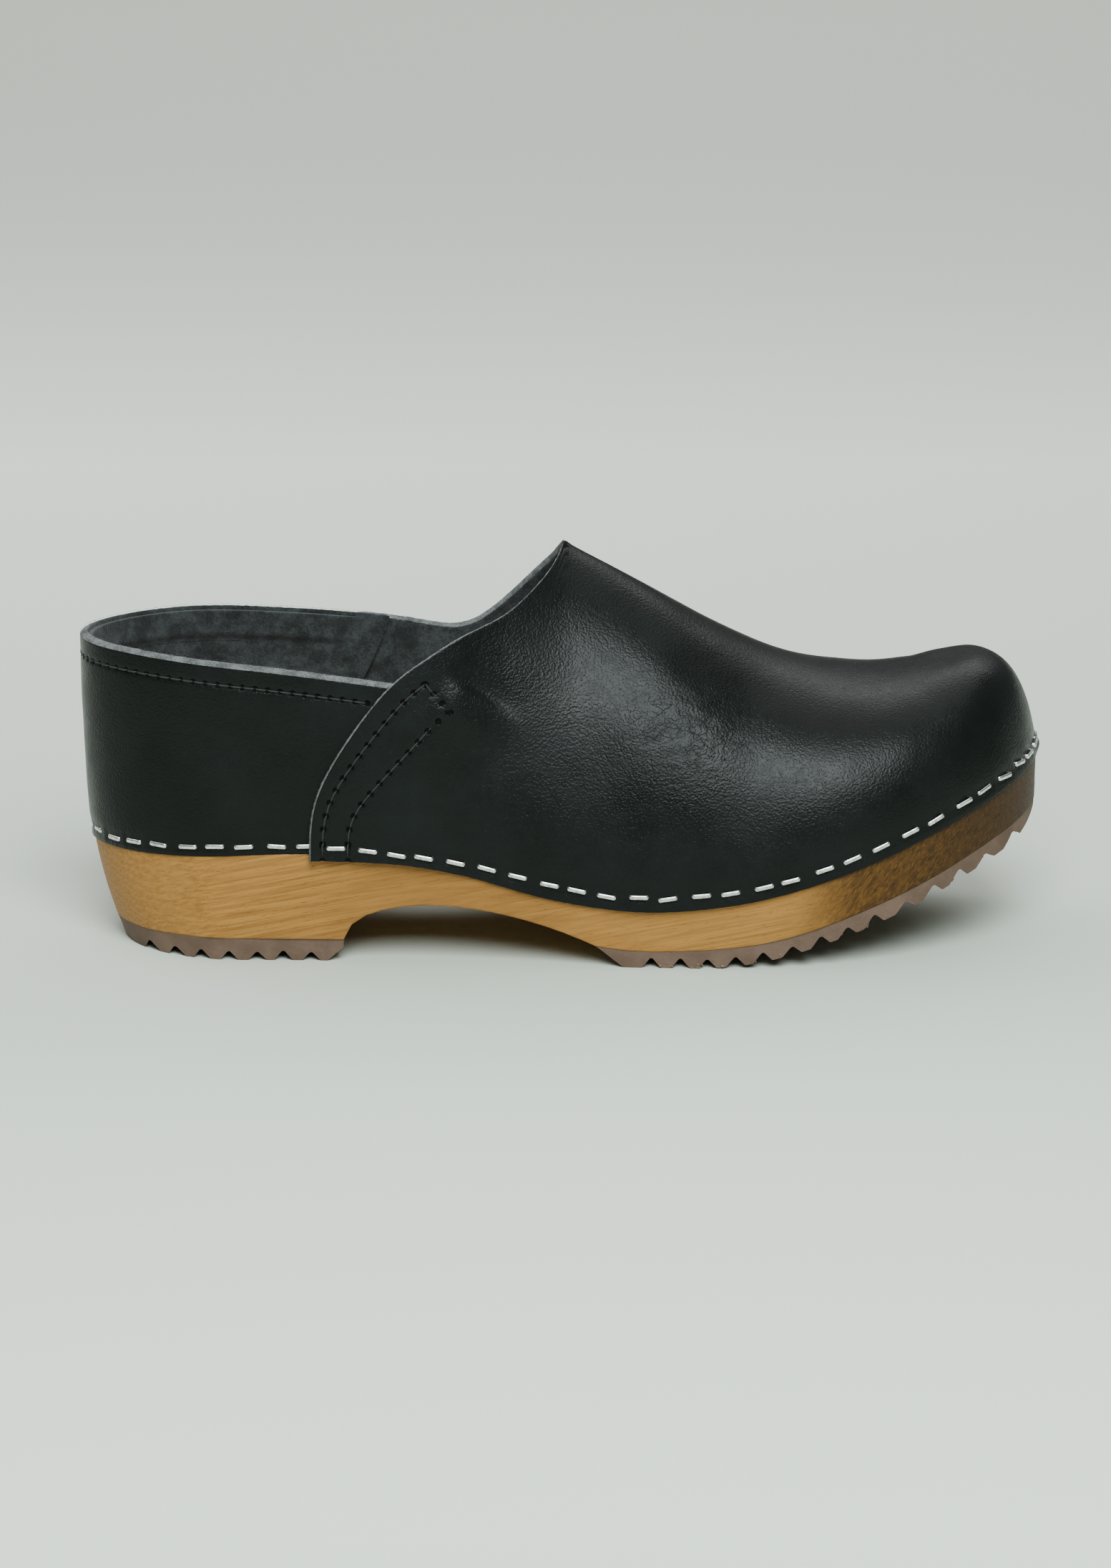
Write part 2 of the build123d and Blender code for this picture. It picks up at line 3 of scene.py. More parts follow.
import bmesh
import bpy
import numpy as np
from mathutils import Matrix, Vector


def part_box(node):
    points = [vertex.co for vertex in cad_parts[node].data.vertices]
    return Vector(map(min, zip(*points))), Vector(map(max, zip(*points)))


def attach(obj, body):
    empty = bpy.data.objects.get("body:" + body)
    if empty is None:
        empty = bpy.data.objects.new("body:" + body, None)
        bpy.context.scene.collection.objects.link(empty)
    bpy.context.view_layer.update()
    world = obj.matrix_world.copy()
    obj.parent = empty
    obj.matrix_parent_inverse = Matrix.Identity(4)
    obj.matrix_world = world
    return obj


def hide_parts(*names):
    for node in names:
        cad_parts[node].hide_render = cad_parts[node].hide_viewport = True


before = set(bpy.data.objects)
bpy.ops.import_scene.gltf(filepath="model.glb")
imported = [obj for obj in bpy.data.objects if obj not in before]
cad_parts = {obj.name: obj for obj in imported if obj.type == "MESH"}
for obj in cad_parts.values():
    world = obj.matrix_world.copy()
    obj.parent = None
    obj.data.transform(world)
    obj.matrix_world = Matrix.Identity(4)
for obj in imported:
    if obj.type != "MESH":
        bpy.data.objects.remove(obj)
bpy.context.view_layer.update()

MM = 0.001
OUTER, INNER = SIDES = -1, 1
SIDE_NAME = {OUTER: "outer", INNER: "inner"}

# ---- where the shoe's own measures lie in the frame: x from the back of the heel, +y inner side
HEEL_TREAD_FRONT_X, HEEL_TREAD_INNER_Y = 73.0, 30.088
HEEL_TREAD_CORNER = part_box("heel_tread")[1] / MM
SHIFT = np.array([HEEL_TREAD_CORNER.x - HEEL_TREAD_FRONT_X, HEEL_TREAD_CORNER.y - HEEL_TREAD_INNER_Y, 0.0])

# ---- plan of the sole, as in the CAD model (mm)
SOLE_BACK_X, HEEL_X, BALL_X = 3.5, 46.0, 185.0
TOE_TIP_X, TOE_TIP_Y = 262.2, 12.0
HEEL_HALF = {OUTER: 34.0, INNER: 31.5}
BALL_HALF = {OUTER: 42.5, INNER: 46.5}
WAIST_END_X = {OUTER: 46.0, INNER: 80.0}
TOE_POWER = {OUTER: 2.0, INNER: 2.3}

# ---- side-view curves, as (x, z) knots
LEATHER_EDGE = [(0, 28.2), (30, 29.2), (60, 30.3), (82, 29.6), (105, 25.5), (130, 19.0), (155, 16.3),
                (180, 18.8), (205, 25.4), (232, 35.6), (248, 42.2), (262, 47.5)]
WOOD_BOTTOM = [(141, 5.9), (152, 4.7), (165, 4.9), (185, 7.0), (209, 14.0), (228, 21.4), (246, 29.2),
               (262, 35.6)]
TOPLINE = {OUTER: [(-5, 84.2), (5, 84.2), (16, 83.8), (30, 82.8), (50, 80.8), (68, 78.7), (87, 76.4),
                   (112, 73.5)],
           INNER: [(-5, 84.2), (5, 84.2), (16, 84.5), (30, 84.7), (50, 84.0), (68, 82.9), (87, 81.0),
                   (112, 77.0)]}
RIDGE = [(133, 107.3), (145, 100.7), (157, 93.8), (170, 86.1), (183, 79.2), (194, 74.6), (206, 71.7),
         (220, 70.7), (236, 73.6), (246, 76.1), (263, 77.0)]
THROAT = {OUTER: [(64.5, 22), (64.5, 30), (65.9, 44.4), (69.9, 53.9), (75.2, 62.5), (81.3, 70.9),
                  (88, 78.2), (95.5, 83.6), (107, 89.8), (116, 93.4), (124.2, 99.2), (129.6, 104.4),
                  (132.8, 109)],
          INNER: [(43, 22), (43.5, 30), (47, 45), (54, 60), (62, 73), (68, 79.4), (74, 81.8), (82, 81.4),
                  (92, 80.0), (101, 79.0), (106, 80.0), (112, 83.8), (119, 90.6), (126, 98.6),
                  (131, 105.2), (132.8, 109)]}
QUARTER_FRONT = {OUTER: [(81, 22), (83.5, 38), (88, 52), (93, 64), (101, 82)],
                 INNER: [(60, 22), (66, 45), (76, 63), (86, 88)]}

# ---- upper
LEATHER, QUARTER_PROUD, VAMP_PROUD = 2.2, 0.4, 0.8
LAP_RISE, LAP_END_X, LAP_FADE = 1.9, 90.0, 22.0
DOME_X, PEAK_X = 225.0, 132.5
CORNER_X = {OUTER: 90.0, INNER: 73.0}      # where the vamp's back edge turns into its throat edge
HEEL_LEAN, WALL_REACH = 1.9, 160.0
TIP_FLAT, TIP_DROP, TIP_SET_BACK = 5.4, 2.0, 0.03   # the toe box over the tip: flat top, steep front
BAND_THICK, BAND_TALL, BAND_DROP, BAND_SHORT = 1.2, 9.0, 0.7, 7.0
PLEAT_Z, PLEAT_TALL, PLEAT_SIZE = 50.2, 1.3, (6.0, 2.6, 2.4)
LAP_HANG = 1.2                             # the lap's corner hangs this far below the quarter

LEATHER_SHINE = 0.13
CREASE_X, CREASE_Z = 168.0, 64.0           # the flex line behind the toe box
FLEX_Z = 66.0                              # the middle of the soft folds there
LAP_RIDGE, LAP_RIDGE_WAY = (104.0, -36.0, 76.0), (16.0, 0.0, -10.5)    # a soft fold beside the outer seam
RIM_DROP = 0.60                            # the rim's rounded edge takes up this much height
TOE_TUCK, TOE_TUCK_X, TOE_TUCK_LONG = 0.35, 240.0, 15.0    # the leather leans in at the toe's staples

# ---- seams and staples
SEAM_PITCH, TOPLINE_PITCH, TOPLINE_ROW = 3.75, 3.35, 5.4
SEAM_ROWS = ((3.2, 5.2), (10.0, 15.2))     # distance from the vamp's back edge at the wood and at the top
SEAM_TOP, SEAM_END_X = {OUTER: (77.5, 69.8), INNER: (74.0, 67.0)}, {OUTER: 106.0, INNER: 80.0}
TOPLINE_ROW_END = {OUTER: 80.0, INNER: 58.0}
VAMP_STAPLE_LIFT = 1.2
STAPLE_PITCH, STAPLE_HEIGHT, CROWN_LONG, CROWN_WIDE, WIRE = 8.1, 2.5, 5.3, 1.2, 0.55
CROWN_BEND, CROWN_SINK, LEG, DIMPLE_DEEP, DIMPLE_RADIUS = 0.45, 0.25, 3.0, 0.42, 2.1

# ---- treads
TREAD_TOP, TOOTH_PITCH, GROOVE_DEPTH, GROOVE_HALF = 6.2, 7.6, 2.7, 2.6
SIDE_TAPER, PLAN_Z, FOREPART_THICK = 2.0, 29.0, 5.2
HEEL_GROOVES, FOREPART_GROOVES, FOREPART_GROOVE_X, FOREPART_X = 7, 14, 155.5, 141.3
HEEL_GROOVE_SETBACK, HEEL_BEVEL_LONG, HEEL_BEVEL_TALL = 8.5, 4.5, 4.0
TOE_WEAR, TOE_WEAR_X = 0.06, 254.0
TREAD_BACK = (11.5, 9.15)                  # back of the heel tread at the floor and at its top


# ---------------- curves and the foot-shaped surface


def smooth(t):
    t = np.clip(t, 0.0, 1.0)
    return t * t * (3 - 2 * t)


def curve(knots):
    """Height as a smooth function of x through the knots, straight past both ends."""
    kx, kz = np.array(knots, float).T
    slope = np.empty_like(kx)
    slope[1:-1] = (kz[2:] - kz[:-2]) / (kx[2:] - kx[:-2])
    slope[0] = (kz[1] - kz[0]) / (kx[1] - kx[0])
    slope[-1] = (kz[-1] - kz[-2]) / (kx[-1] - kx[-2])

    def at(x):
        x = np.asarray(x, float)
        i = np.clip(np.searchsorted(kx, x, side="right") - 1, 0, len(kx) - 2)
        step = kx[i + 1] - kx[i]
        t = (x - kx[i]) / step
        level = (2 * t**3 - 3 * t**2 + 1) * kz[i] + (3 * t**2 - 2 * t**3) * kz[i + 1]
        inside = level + step * ((t**3 - 2 * t**2 + t) * slope[i] + (t**3 - t**2) * slope[i + 1])
        before, after = kz[0] + slope[0] * (x - kx[0]), kz[-1] + slope[-1] * (x - kx[-1])
        return np.where(x <= kx[0], before, np.where(x >= kx[-1], after, inside))

    return at


leather_edge, ridge_knots, wood_bottom = curve(LEATHER_EDGE), curve(RIDGE), curve(WOOD_BOTTOM)
topline = {side: curve(TOPLINE[side]) for side in SIDES}


def evenly(points, count):
    """The same line, divided into count points at equal distances."""
    points = np.asarray(points, float)
    along = np.concatenate([[0.0], np.cumsum(np.linalg.norm(np.diff(points, axis=0), axis=1))])
    target = np.linspace(0.0, along[-1], count)
    return np.stack([np.interp(target, along, c) for c in points.T], axis=1)


def length_of(points):
    return float(np.linalg.norm(np.diff(points, axis=0), axis=1).sum())


def smooth_line(knots, count):
    """Even points on the natural cubic spline through the knots."""
    p = np.array(knots, float)
    t = np.concatenate([[0.0], np.cumsum(np.linalg.norm(np.diff(p, axis=0), axis=1))])
    h, last = np.diff(t), len(t) - 1
    system, right = np.eye(last + 1), np.zeros_like(p)
    for i in range(1, last):
        system[i, i - 1:i + 2] = h[i - 1], 2 * (h[i - 1] + h[i]), h[i]
        right[i] = 6 * ((p[i + 1] - p[i]) / h[i] - (p[i] - p[i - 1]) / h[i - 1])
    bend = np.linalg.solve(system, right)
    s = np.linspace(0.0, t[-1], 60 * last)
    i = np.clip(np.searchsorted(t, s, side="right") - 1, 0, last - 1)
    a, b, w = (t[i + 1] - s)[:, None], (s - t[i])[:, None], h[i][:, None]
    line = (bend[i] * a**3 + bend[i + 1] * b**3) / (6 * w)
    line += (p[i] / w - bend[i] * w / 6) * a + (p[i + 1] / w - bend[i + 1] * w / 6) * b
    return evenly(line, count)


def half_width(x, side, grow=0.0):
    start = WAIST_END_X[side]
    wider = (BALL_HALF[side] - HEEL_HALF[side]) * smooth((x - start) / (BALL_X - start))
    return HEEL_HALF[side] + wider + grow


def outline_y(x, side, grow=0.0, back=SOLE_BACK_X):
    """y of the plan outline at x, on one side."""
    x = np.asarray(x, float)
    u = np.clip((HEEL_X - x) / (HEEL_X - back + grow), 0.0, 1.0)
    heel = side * half_width(HEEL_X, side, grow) * np.sqrt(1 - u * u)
    waist = side * half_width(x, side, grow)
    power = TOE_POWER[side]
    v = np.clip((x - BALL_X) / (TOE_TIP_X + grow - BALL_X), 0.0, 1.0)
    toe = TOE_TIP_Y + side * (BALL_HALF[side] + grow - side * TOE_TIP_Y) * (1 - v**power) ** (1 / power)
    return np.where(x < HEEL_X, heel, np.where(x <= BALL_X, waist, toe))


def ridge(x):
    """Height of the upper's spine. Behind the throat it climbs away, so the walls turn upright."""
    back = np.maximum(RIDGE[0][0] - x, 0.0)
    climb = np.minimum(RIDGE[0][1] + 0.6 * back + 0.025 * back**2, 190.0 + 0.1 * back)
    return np.where(x >= RIDGE[0][0], ridge_knots(x), climb)


def spine_y(x):
    return 3.0 + 8.0 * smooth((x - 150.0) / 75.0)


def arch_power(x):
    toe = 0.35 * smooth((x - 133.0) / 40.0) + 0.75 * smooth((x - 180.0) / 45.0)
    return 1.75 + toe + 0.2 * smooth((118.0 - x) / 25.0)


def lap_rise(x):
    return LAP_RISE * (1 - smooth((x - LAP_END_X) / LAP_FADE))


def section_lean(x, z, grow):
    """How far out the surface is at height z: 1 at the wood, 0 at the spine."""
    low, power = leather_edge(x), arch_power(x)
    rise = np.clip((z - low) / (ridge(x) + grow - low), 0.0, 1.0)
    return (1 - rise**power) ** (1 / power)


def surface_height(x, lean, grow):
    low, power = leather_edge(x), arch_power(x)
    return low + (ridge(x) + grow - low) * (1 - np.clip(lean, 0, 1) ** power) ** (1 / power)


def tip_height(x, lean, rim_x, grow):
    """Height of the dome over the toe. rim_x is where the same radius meets the outline."""
    tip = smooth((rim_x - DOME_X - 7.0) / 27.0)
    low, power = leather_edge(x), arch_power(x)
    flat, drop = power * (1 - tip) + TIP_FLAT * tip, power * (1 - tip) + TIP_DROP * tip
    out = np.clip(lean * (1 + TIP_SET_BACK * tip * (1 - lean**30)), 0, 1)
    return low + (ridge(x) + grow - low) * (1 - out**flat) ** (1 / drop)


def flank(x, z, side, grow):
    """Points of the vamp's surface at (x, z) on one side."""
    y = spine_y(x) + (outline_y(x, side, grow) - spine_y(x)) * section_lean(x, z, grow)
    return np.stack([x, y, z], axis=-1)


# ---------------- relief


def ripple(points, size, seed, waves=24):
    """Smooth random relief of about -1 to 1, with features of the given size."""
    rng = np.random.default_rng(seed)
    total = np.zeros(points.shape[:-1])
    for _ in range(waves):
        way = rng.normal(size=3)
        way *= 2 * np.pi / (size * rng.uniform(0.7, 1.8) * np.linalg.norm(way))
        total += np.sin(points @ way + rng.uniform(0, 2 * np.pi))
    return total / math.sqrt(waves)


def bell(t):
    return np.exp(-(t**2))


def nearness(points, centres, radius):
    """1 at the nearest centre, falling away over the radius."""
    best = np.full(points.shape[:-1], np.inf)
    for c in centres:
        best = np.minimum(best, ((points - c) ** 2).sum(axis=-1))
    return np.exp(-best / radius**2)


def seam_field(points, lines, pitch):
    """Each point's place along the nearest seam line, in stitches, and its distance from the line."""
    along, across = np.zeros(points.shape[:-1]), np.full(points.shape[:-1], 99.0)
    for line in lines:
        spots = evenly(line, max(int(length_of(line) / 0.8), 2))
        way = np.gradient(spots, axis=0)
        way /= np.linalg.norm(way, axis=1)[:, None]
        step = length_of(line) / (len(spots) - 1)
        scale = round(length_of(line) / pitch) / length_of(line)
        for k, (spot, direction) in enumerate(zip(spots, way)):
            gap = points - spot
            shift = gap @ direction
            off = np.sqrt(np.maximum((gap**2).sum(axis=-1) - np.minimum(shift**2, step**2), 0.0))
            near = off < across - 1e-6
            across = np.where(near, off, across)
            along = np.where(near, (k * step + np.clip(shift, -step, step)) * scale, along)
    return along, across


def grid_normals(grid, outward):
    """Unit normals of a grid of points, turned to the side that outward points to on the whole."""
    normal = np.cross(np.gradient(grid, axis=0), np.gradient(grid, axis=1))
    normal /= np.maximum(np.linalg.norm(normal, axis=2, keepdims=True), 1e-9)
    return normal * np.sign((normal * outward).sum())


# ---------------- meshes


def add_mesh(name, points, blocks, kinds, materials, replaced=(), fields=None, weld=False):
    """A mesh piece from points in millimetres. blocks are arrays of faces, kinds their material numbers."""
    points = np.asarray(points, float).reshape(-1, 3)
    mesh = bpy.data.meshes.new(name)
    blocks = [np.asarray(b, np.int32) for b in blocks]
    sizes = np.concatenate([np.full(len(b), b.shape[1]) for b in blocks])
    corners = np.concatenate([b.ravel() for b in blocks])
    mesh.vertices.add(len(points))
    mesh.vertices.foreach_set("co", ((points + SHIFT) * MM).astype(np.float32).ravel())
    mesh.loops.add(len(corners))
    mesh.loops.foreach_set("vertex_index", corners)
    mesh.polygons.add(len(sizes))
    mesh.polygons.foreach_set("loop_start", np.concatenate([[0], np.cumsum(sizes)[:-1]]).astype(np.int32))
    mesh.polygons.foreach_set("material_index", np.repeat(kinds, [len(b) for b in blocks]).astype(np.int32))
    mesh.polygons.foreach_set("use_smooth", np.ones(len(sizes), bool))
    mesh.update(calc_edges=True)
    for field, values in (fields or {}).items():
        layer = mesh.attributes.new(field, "FLOAT", "POINT")
        layer.data.foreach_set("value", np.asarray(values, np.float32).ravel())
    work = bmesh.new()
    work.from_mesh(mesh)
    if weld:
        bmesh.ops.remove_doubles(work, verts=work.verts, dist=2e-6)
    bmesh.ops.recalc_face_normals(work, faces=work.faces)
    work.to_mesh(mesh)
    work.free()
    for material in materials:
        mesh.materials.append(material)
    piece = bpy.data.objects.new(name, mesh)
    bpy.context.scene.collection.objects.link(piece)
    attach(piece, "root")
    if replaced:
        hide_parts(*replaced)
    return piece


def ring_walls(index):
    """Faces between neighbouring closed rings, given as rows of vertex numbers."""
    low, high = index[:-1], index[1:]
    faces = [low, np.roll(low, -1, axis=1), np.roll(high, -1, axis=1), high]
    return np.stack(faces, axis=-1).reshape(-1, 4)


def grid_quads(rows, columns, start=0):
    index = start + np.arange(rows * columns).reshape(rows, columns)
    return np.stack([index[:-1, :-1], index[:-1, 1:], index[1:, 1:], index[1:, :-1]], axis=-1).reshape(-1, 4)


def unit(vectors):
    return vectors / np.maximum(np.linalg.norm(vectors, axis=-1, keepdims=True), 1e-9)


def leather_piece(outer, inner, edges, ragged, seed):
    """Points, faces and kinds of a piece of leather between two grids of the same size.

    edges is the closed run of (row, column) round the grid, with the neighbour further in, the edge's kind
    and its profile: (share of the thickness, how far it stands out in mm). The inner face has half the
    grid's rows and columns.
    """
    rows, columns = outer.shape[:2]
    ring = [e[:2] for e in edges]
    out = np.array([outer[r, c] for r, c in ring])
    back = np.array([inner[r, c] for r, c in ring])
    further = np.array([outer[e[2]] for e in edges])
    away = out - further
    tangent = unit(np.roll(out, -1, axis=0) - np.roll(out, 1, axis=0))
    away = unit(away - (away * tangent).sum(axis=1, keepdims=True) * tangent)
    count = len(ring)
    loops = [np.array([r * columns + c for r, c in ring])]
    points = [outer.reshape(-1, 3)]
    total = rows * columns
    noise = ripple(out, 1.3, seed) * 0.6 + ripple(out, 0.5, seed + 1) * 0.4
    for k in range(len(edges[0][4])):
        share = np.array([e[4][k][0] for e in edges])[:, None]
        reach = np.array([e[4][k][1] for e in edges])[:, None]
        rough = noise[:, None] * ragged * min(k + 0.5, 2.0)
        points.append(out + (back - out) * share + away * (reach + rough))
        loops.append(total + np.arange(count))
        total += count
    half = inner[::2, ::2]
    points.append(half.reshape(-1, 3))
    inner_ring = np.array([total + (r // 2) * half.shape[1] + c // 2 for r, c in ring[::2]])
    kind = np.array([e[3] for e in edges])
    blocks, kinds = [grid_quads(rows, columns)], [0]
    for a, b in zip(loops, loops[1:]):
        faces = np.stack([a, np.roll(a, -1), np.roll(b, -1), b], axis=1)
        for value in np.unique(kind):
            blocks.append(faces[kind == value])
            kinds.append(value)
    last = loops[-1]
    after = np.roll(last, -2)
    faces = np.stack([last[::2], last[1::2], after[::2], np.roll(inner_ring, -1), inner_ring], axis=1)
    blocks.append(faces)
    kinds.append(1)
    blocks.append(grid_quads(*half.shape[:2], start=total)[:, ::-1])
    kinds.append(1)
    return np.concatenate(points), blocks, kinds


def ring_edges(rows, columns, top_columns, top, ends, low):
    """The closed run round a grid, for leather_piece: front edge up, rim, front edge down, lower edge."""
    last = rows - 1
    run = [(r, 0, (r, 1), 2, ends) for r in range(last)]
    run += [(last, c, (last - 1, c), 2, top) for c in top_columns]
    run += [(r, columns - 1, (r, columns - 2), 2, ends) for r in range(last - 1, -1, -1)]
    run += [(0, c, (1, c), 3, low) for c in range(columns - 2, 0, -1)]
    return run


def tube(path, side, wide, tall, around=8):
    """Points and faces of a closed tube along a path. side is its broad direction at each point."""
    path, side = np.asarray(path, float), np.asarray(side, float)
    run = unit(np.gradient(path, axis=0))
    side = unit(side - (side * run).sum(axis=1, keepdims=True) * run)
    up = np.cross(run, side)
    angle = np.arange(around) * 2 * np.pi / around + np.pi / around
    across, over = np.cos(angle), np.sin(angle)
    rings = path[:, None] + side[:, None] * across[:, None] * wide / 2
    rings = rings + up[:, None] * over[:, None] * tall / 2
    count = len(path)
    index = np.arange(count * around).reshape(count, around)
    return rings.reshape(-1, 3), ring_walls(index), index[[0, -1]]


def add_tubes(name, tubes, material, replaced=()):
    """One mesh piece made of many closed tubes."""
    points, walls, caps, total = [], [], [], 0
    for p, w, c in tubes:
        points.append(p)
        walls.append(w + total)
        caps.append(c + total)
        total += len(p)
    blocks = [np.concatenate(walls), np.concatenate(caps)]
    add_mesh(name, np.concatenate(points), blocks, [0, 0], [material], replaced)


# ---------------- materials


class Finish:
    """A material's shader, with short calls for the nodes that feed it."""

    def __init__(self, name):
        self.material = bpy.data.materials.new(name)
        self.material.use_nodes = True
        self.tree = self.material.node_tree
        self.tree.nodes.clear()
        self.shader = self.node("BsdfPrincipled")
        self.node("OutputMaterial", {"Surface": self.shader.outputs[0]})

    def node(self, kind, inputs=None, **settings):
        node = self.tree.nodes.new("ShaderNode" + kind)
        for name, value in settings.items():
            setattr(node, name, value)
        self.feed(node, inputs or {})
        return node

    def feed(self, node, inputs):
        """Links or sets each of a node's inputs."""
        for socket, value in inputs.items():
            if isinstance(value, bpy.types.NodeSocket):
                self.tree.links.new(value, node.inputs[socket])
            else:
                node.inputs[socket].default_value = value

    def done(self, inputs):
        """The material, once its shader has these inputs."""
        self.feed(self.shader, inputs)
        return self.material

    def place(self, stretch=(1, 1, 1), turn=(0, 0, 0)):
        """Object coordinates in millimetres, turned and stretched."""
        place = self.node("TexCoord").outputs["Object"]
        turned = self.node("Mapping", {"Vector": place, "Rotation": turn}).outputs[0]
        return self.node("Mapping", {"Vector": turned, "Scale": [s / MM for s in stretch]}).outputs[0]

    def noise(self, place, scale, detail=3.0, rough=0.5, output="Fac"):
        inputs = {"Vector": place, "Scale": scale, "Detail": detail, "Roughness": rough}
        return self.node("TexNoise", inputs).outputs[output]

    def cells(self, place, scale, feature="F1"):
        inputs = {"Vector": place, "Scale": scale}
        return self.node("TexVoronoi", inputs, feature=feature).outputs["Distance"]

    def maths(self, operation, a, b=0.0, clamp=False):
        return self.node("Math", {0: a, 1: b}, operation=operation, use_clamp=clamp).outputs[0]

    def times(self, a, b, clamp=False):
        return self.maths("MULTIPLY", a, b, clamp)

    def plus(self, a, b, clamp=False):
        return self.maths("ADD", a, b, clamp)

    def both(self, main, other):
        """Two noises as one, the first a little stronger."""
        return self.plus(self.times(main, 0.6), self.times(other, 0.4))

    def vectors(self, operation, a, b):
        return self.node("VectorMath", {0: a, 1: b}, operation=operation).outputs[0]

    def part(self, vector, axis):
        return self.node("SeparateXYZ", {0: vector}).outputs[axis]

    def spread(self, value, low, high, to_low=0.0, to_high=1.0, kind="SMOOTHSTEP"):
        """Maps low..high to to_low..to_high and holds the ends."""
        inputs = {"Value": value, "From Min": low, "From Max": high, "To Min": to_low, "To Max": to_high}
        return self.node("MapRange", inputs, interpolation_type=kind).outputs[0]

    def mix(self, share, a, b):
        return self.node("Mix", {0: share, 6: a, 7: b}, data_type="RGBA").outputs[2]

    def bump(self, height, depth, below=None):
        """Relief of a 0 to 1 height, depth in millimetres, on top of an earlier bump."""
        inputs = {"Height": height, "Distance": depth * MM, "Strength": 1.0}
        if below is not None:
            inputs["Normal"] = below
        return self.node("Bump", inputs).outputs[0]

    def stitch_holes(self):
        """1 inside the needle holes of the seams, 0 outside."""
        along, across = [self.node("Attribute", attribute_name=name).outputs["Fac"]
                         for name in ("stitch_along", "stitch_across")]
        run = self.times(self.maths("ABSOLUTE", self.maths("PINGPONG", along, 0.5)), SEAM_PITCH)
        distance = self.maths("POWER", self.plus(self.times(run, run), self.times(across, across)), 0.5)
        return self.spread(distance, 0.90, 0.62)

    def creases(self, mm):
        """Fine flex creases: thin wandering lines, only where the vamp bends behind the toe box."""
        sway = self.vectors("MULTIPLY", self.noise(mm, 0.2, 3.0, output="Color"), (6.0, 6.0, 6.0))
        inputs = {"Vector": self.vectors("ADD", mm, sway), "Scale": (0.20, 0.30, 0.42)}
        long = self.node("Mapping", inputs).outputs[0]
        line = self.spread(self.cells(long, 1.0, "DISTANCE_TO_EDGE"), 0.05, 0.0)
        across = self.maths("ABSOLUTE", self.maths("SUBTRACT", self.part(mm, "X"), CREASE_X + SHIFT[0]))
        above = self.maths("ABSOLUTE", self.maths("SUBTRACT", self.part(mm, "Z"), CREASE_Z))
        where = self.times(self.spread(across, 30.0, 8.0), self.spread(above, 14.0, 5.0))
        return self.times(line, self.times(self.spread(self.noise(mm, 0.16, 2), 0.42, 0.6), where))


def grey(level, tint=(1.0, 1.0, 1.0)):
    return (level * tint[0], level * tint[1], level * tint[2], 1.0)


def grain_leather():
    """Black waxed leather: a fine pebbled grain, clouded finish, creases over the flex line."""
    m = Finish("grain_leather")
    mm = m.place()
    cloud, patch = m.noise(mm, 0.035, 4, 0.6), m.noise(mm, 0.25, 3, 0.6)
    hole = m.stitch_holes()
    black, worn = grey(0.0050, (0.92, 1.15, 1.02)), grey(0.0075, (0.90, 1.15, 1.08))
    tone = m.mix(m.spread(cloud, 0.35, 0.7), black, worn)
    gloss = m.plus(m.spread(patch, 0.3, 0.7, 0.30, 0.37), m.spread(cloud, 0.35, 0.7, -0.03, 0.03))
    warped = m.vectors("ADD", mm, m.noise(mm, 0.8, 2.0, output="Color"))
    pebble = m.spread(m.cells(warped, 1.7, "SMOOTH_F1"), 0.05, 0.75, 1.0, 0.0)
    pores = m.spread(m.cells(warped, 0.62), 0.16, 0.03)
    relief = m.bump(pebble, 0.055)
    relief = m.bump(m.noise(mm, 4.0, 3, 0.6), 0.020, relief)
    relief = m.bump(pores, -0.03, relief)
    relief = m.bump(m.creases(mm), -0.05, relief)
    # the needle holes are painted near-black: painted shade in their shallow dips
    return m.done({"Base Color": m.mix(hole, tone, grey(0.0008)),
                   "Roughness": m.plus(gloss, m.times(hole, 0.5), clamp=True),
                   "Normal": m.bump(hole, -0.35, relief), "Specular IOR Level": LEATHER_SHINE})


def flesh_side(name, dark, light):
    """The rough inside of the leather: mottled, napped suede."""
    m = Finish(name)
    mm = m.place()
    nap = m.noise(mm, 1.6, 5, 0.75)
    value = m.both(m.noise(mm, 0.16, 6, 0.7), nap)
    relief = m.bump(nap, 0.35, m.bump(m.noise(mm, 0.5, 4, 0.6), 0.5))
    return m.done({"Base Color": m.mix(m.spread(value, 0.4, 0.64), dark, light), "Roughness": 0.95,
                   "Specular IOR Level": 0.2, "Sheen Weight": 0.12, "Sheen Roughness": 0.6,
                   "Normal": m.bump(m.noise(mm, 6.0, 2, 0.6), 0.05, relief)})


def cut_edge(name, dark, light):
    """A raw cut through the leather: pale, layered fibres."""
    m = Finish(name)
    mm = m.place()
    fibre = m.noise(mm, 2.4, 5, 0.75)
    value = m.both(fibre, m.noise(mm, 0.3, 3, 0.6))
    return m.done({"Base Color": m.mix(m.spread(value, 0.38, 0.62), dark, light), "Roughness": 0.85,
                   "Specular IOR Level": 0.3, "Normal": m.bump(fibre, 0.12)})


def thread_material():
    """Waxed black thread, twisted from three strands."""
    m = Finish("black_thread")
    inputs = {"Vector": m.place(turn=(0.4, 0.6, 0.8)), "Scale": 0.9, "Distortion": 1.5, "Detail": 1.0}
    twist = m.node("TexWave", inputs).outputs["Fac"]
    return m.done({"Base Color": m.mix(twist, grey(0.003), grey(0.014)), "Roughness": 0.6,
                   "Normal": m.bump(twist, 0.08)})


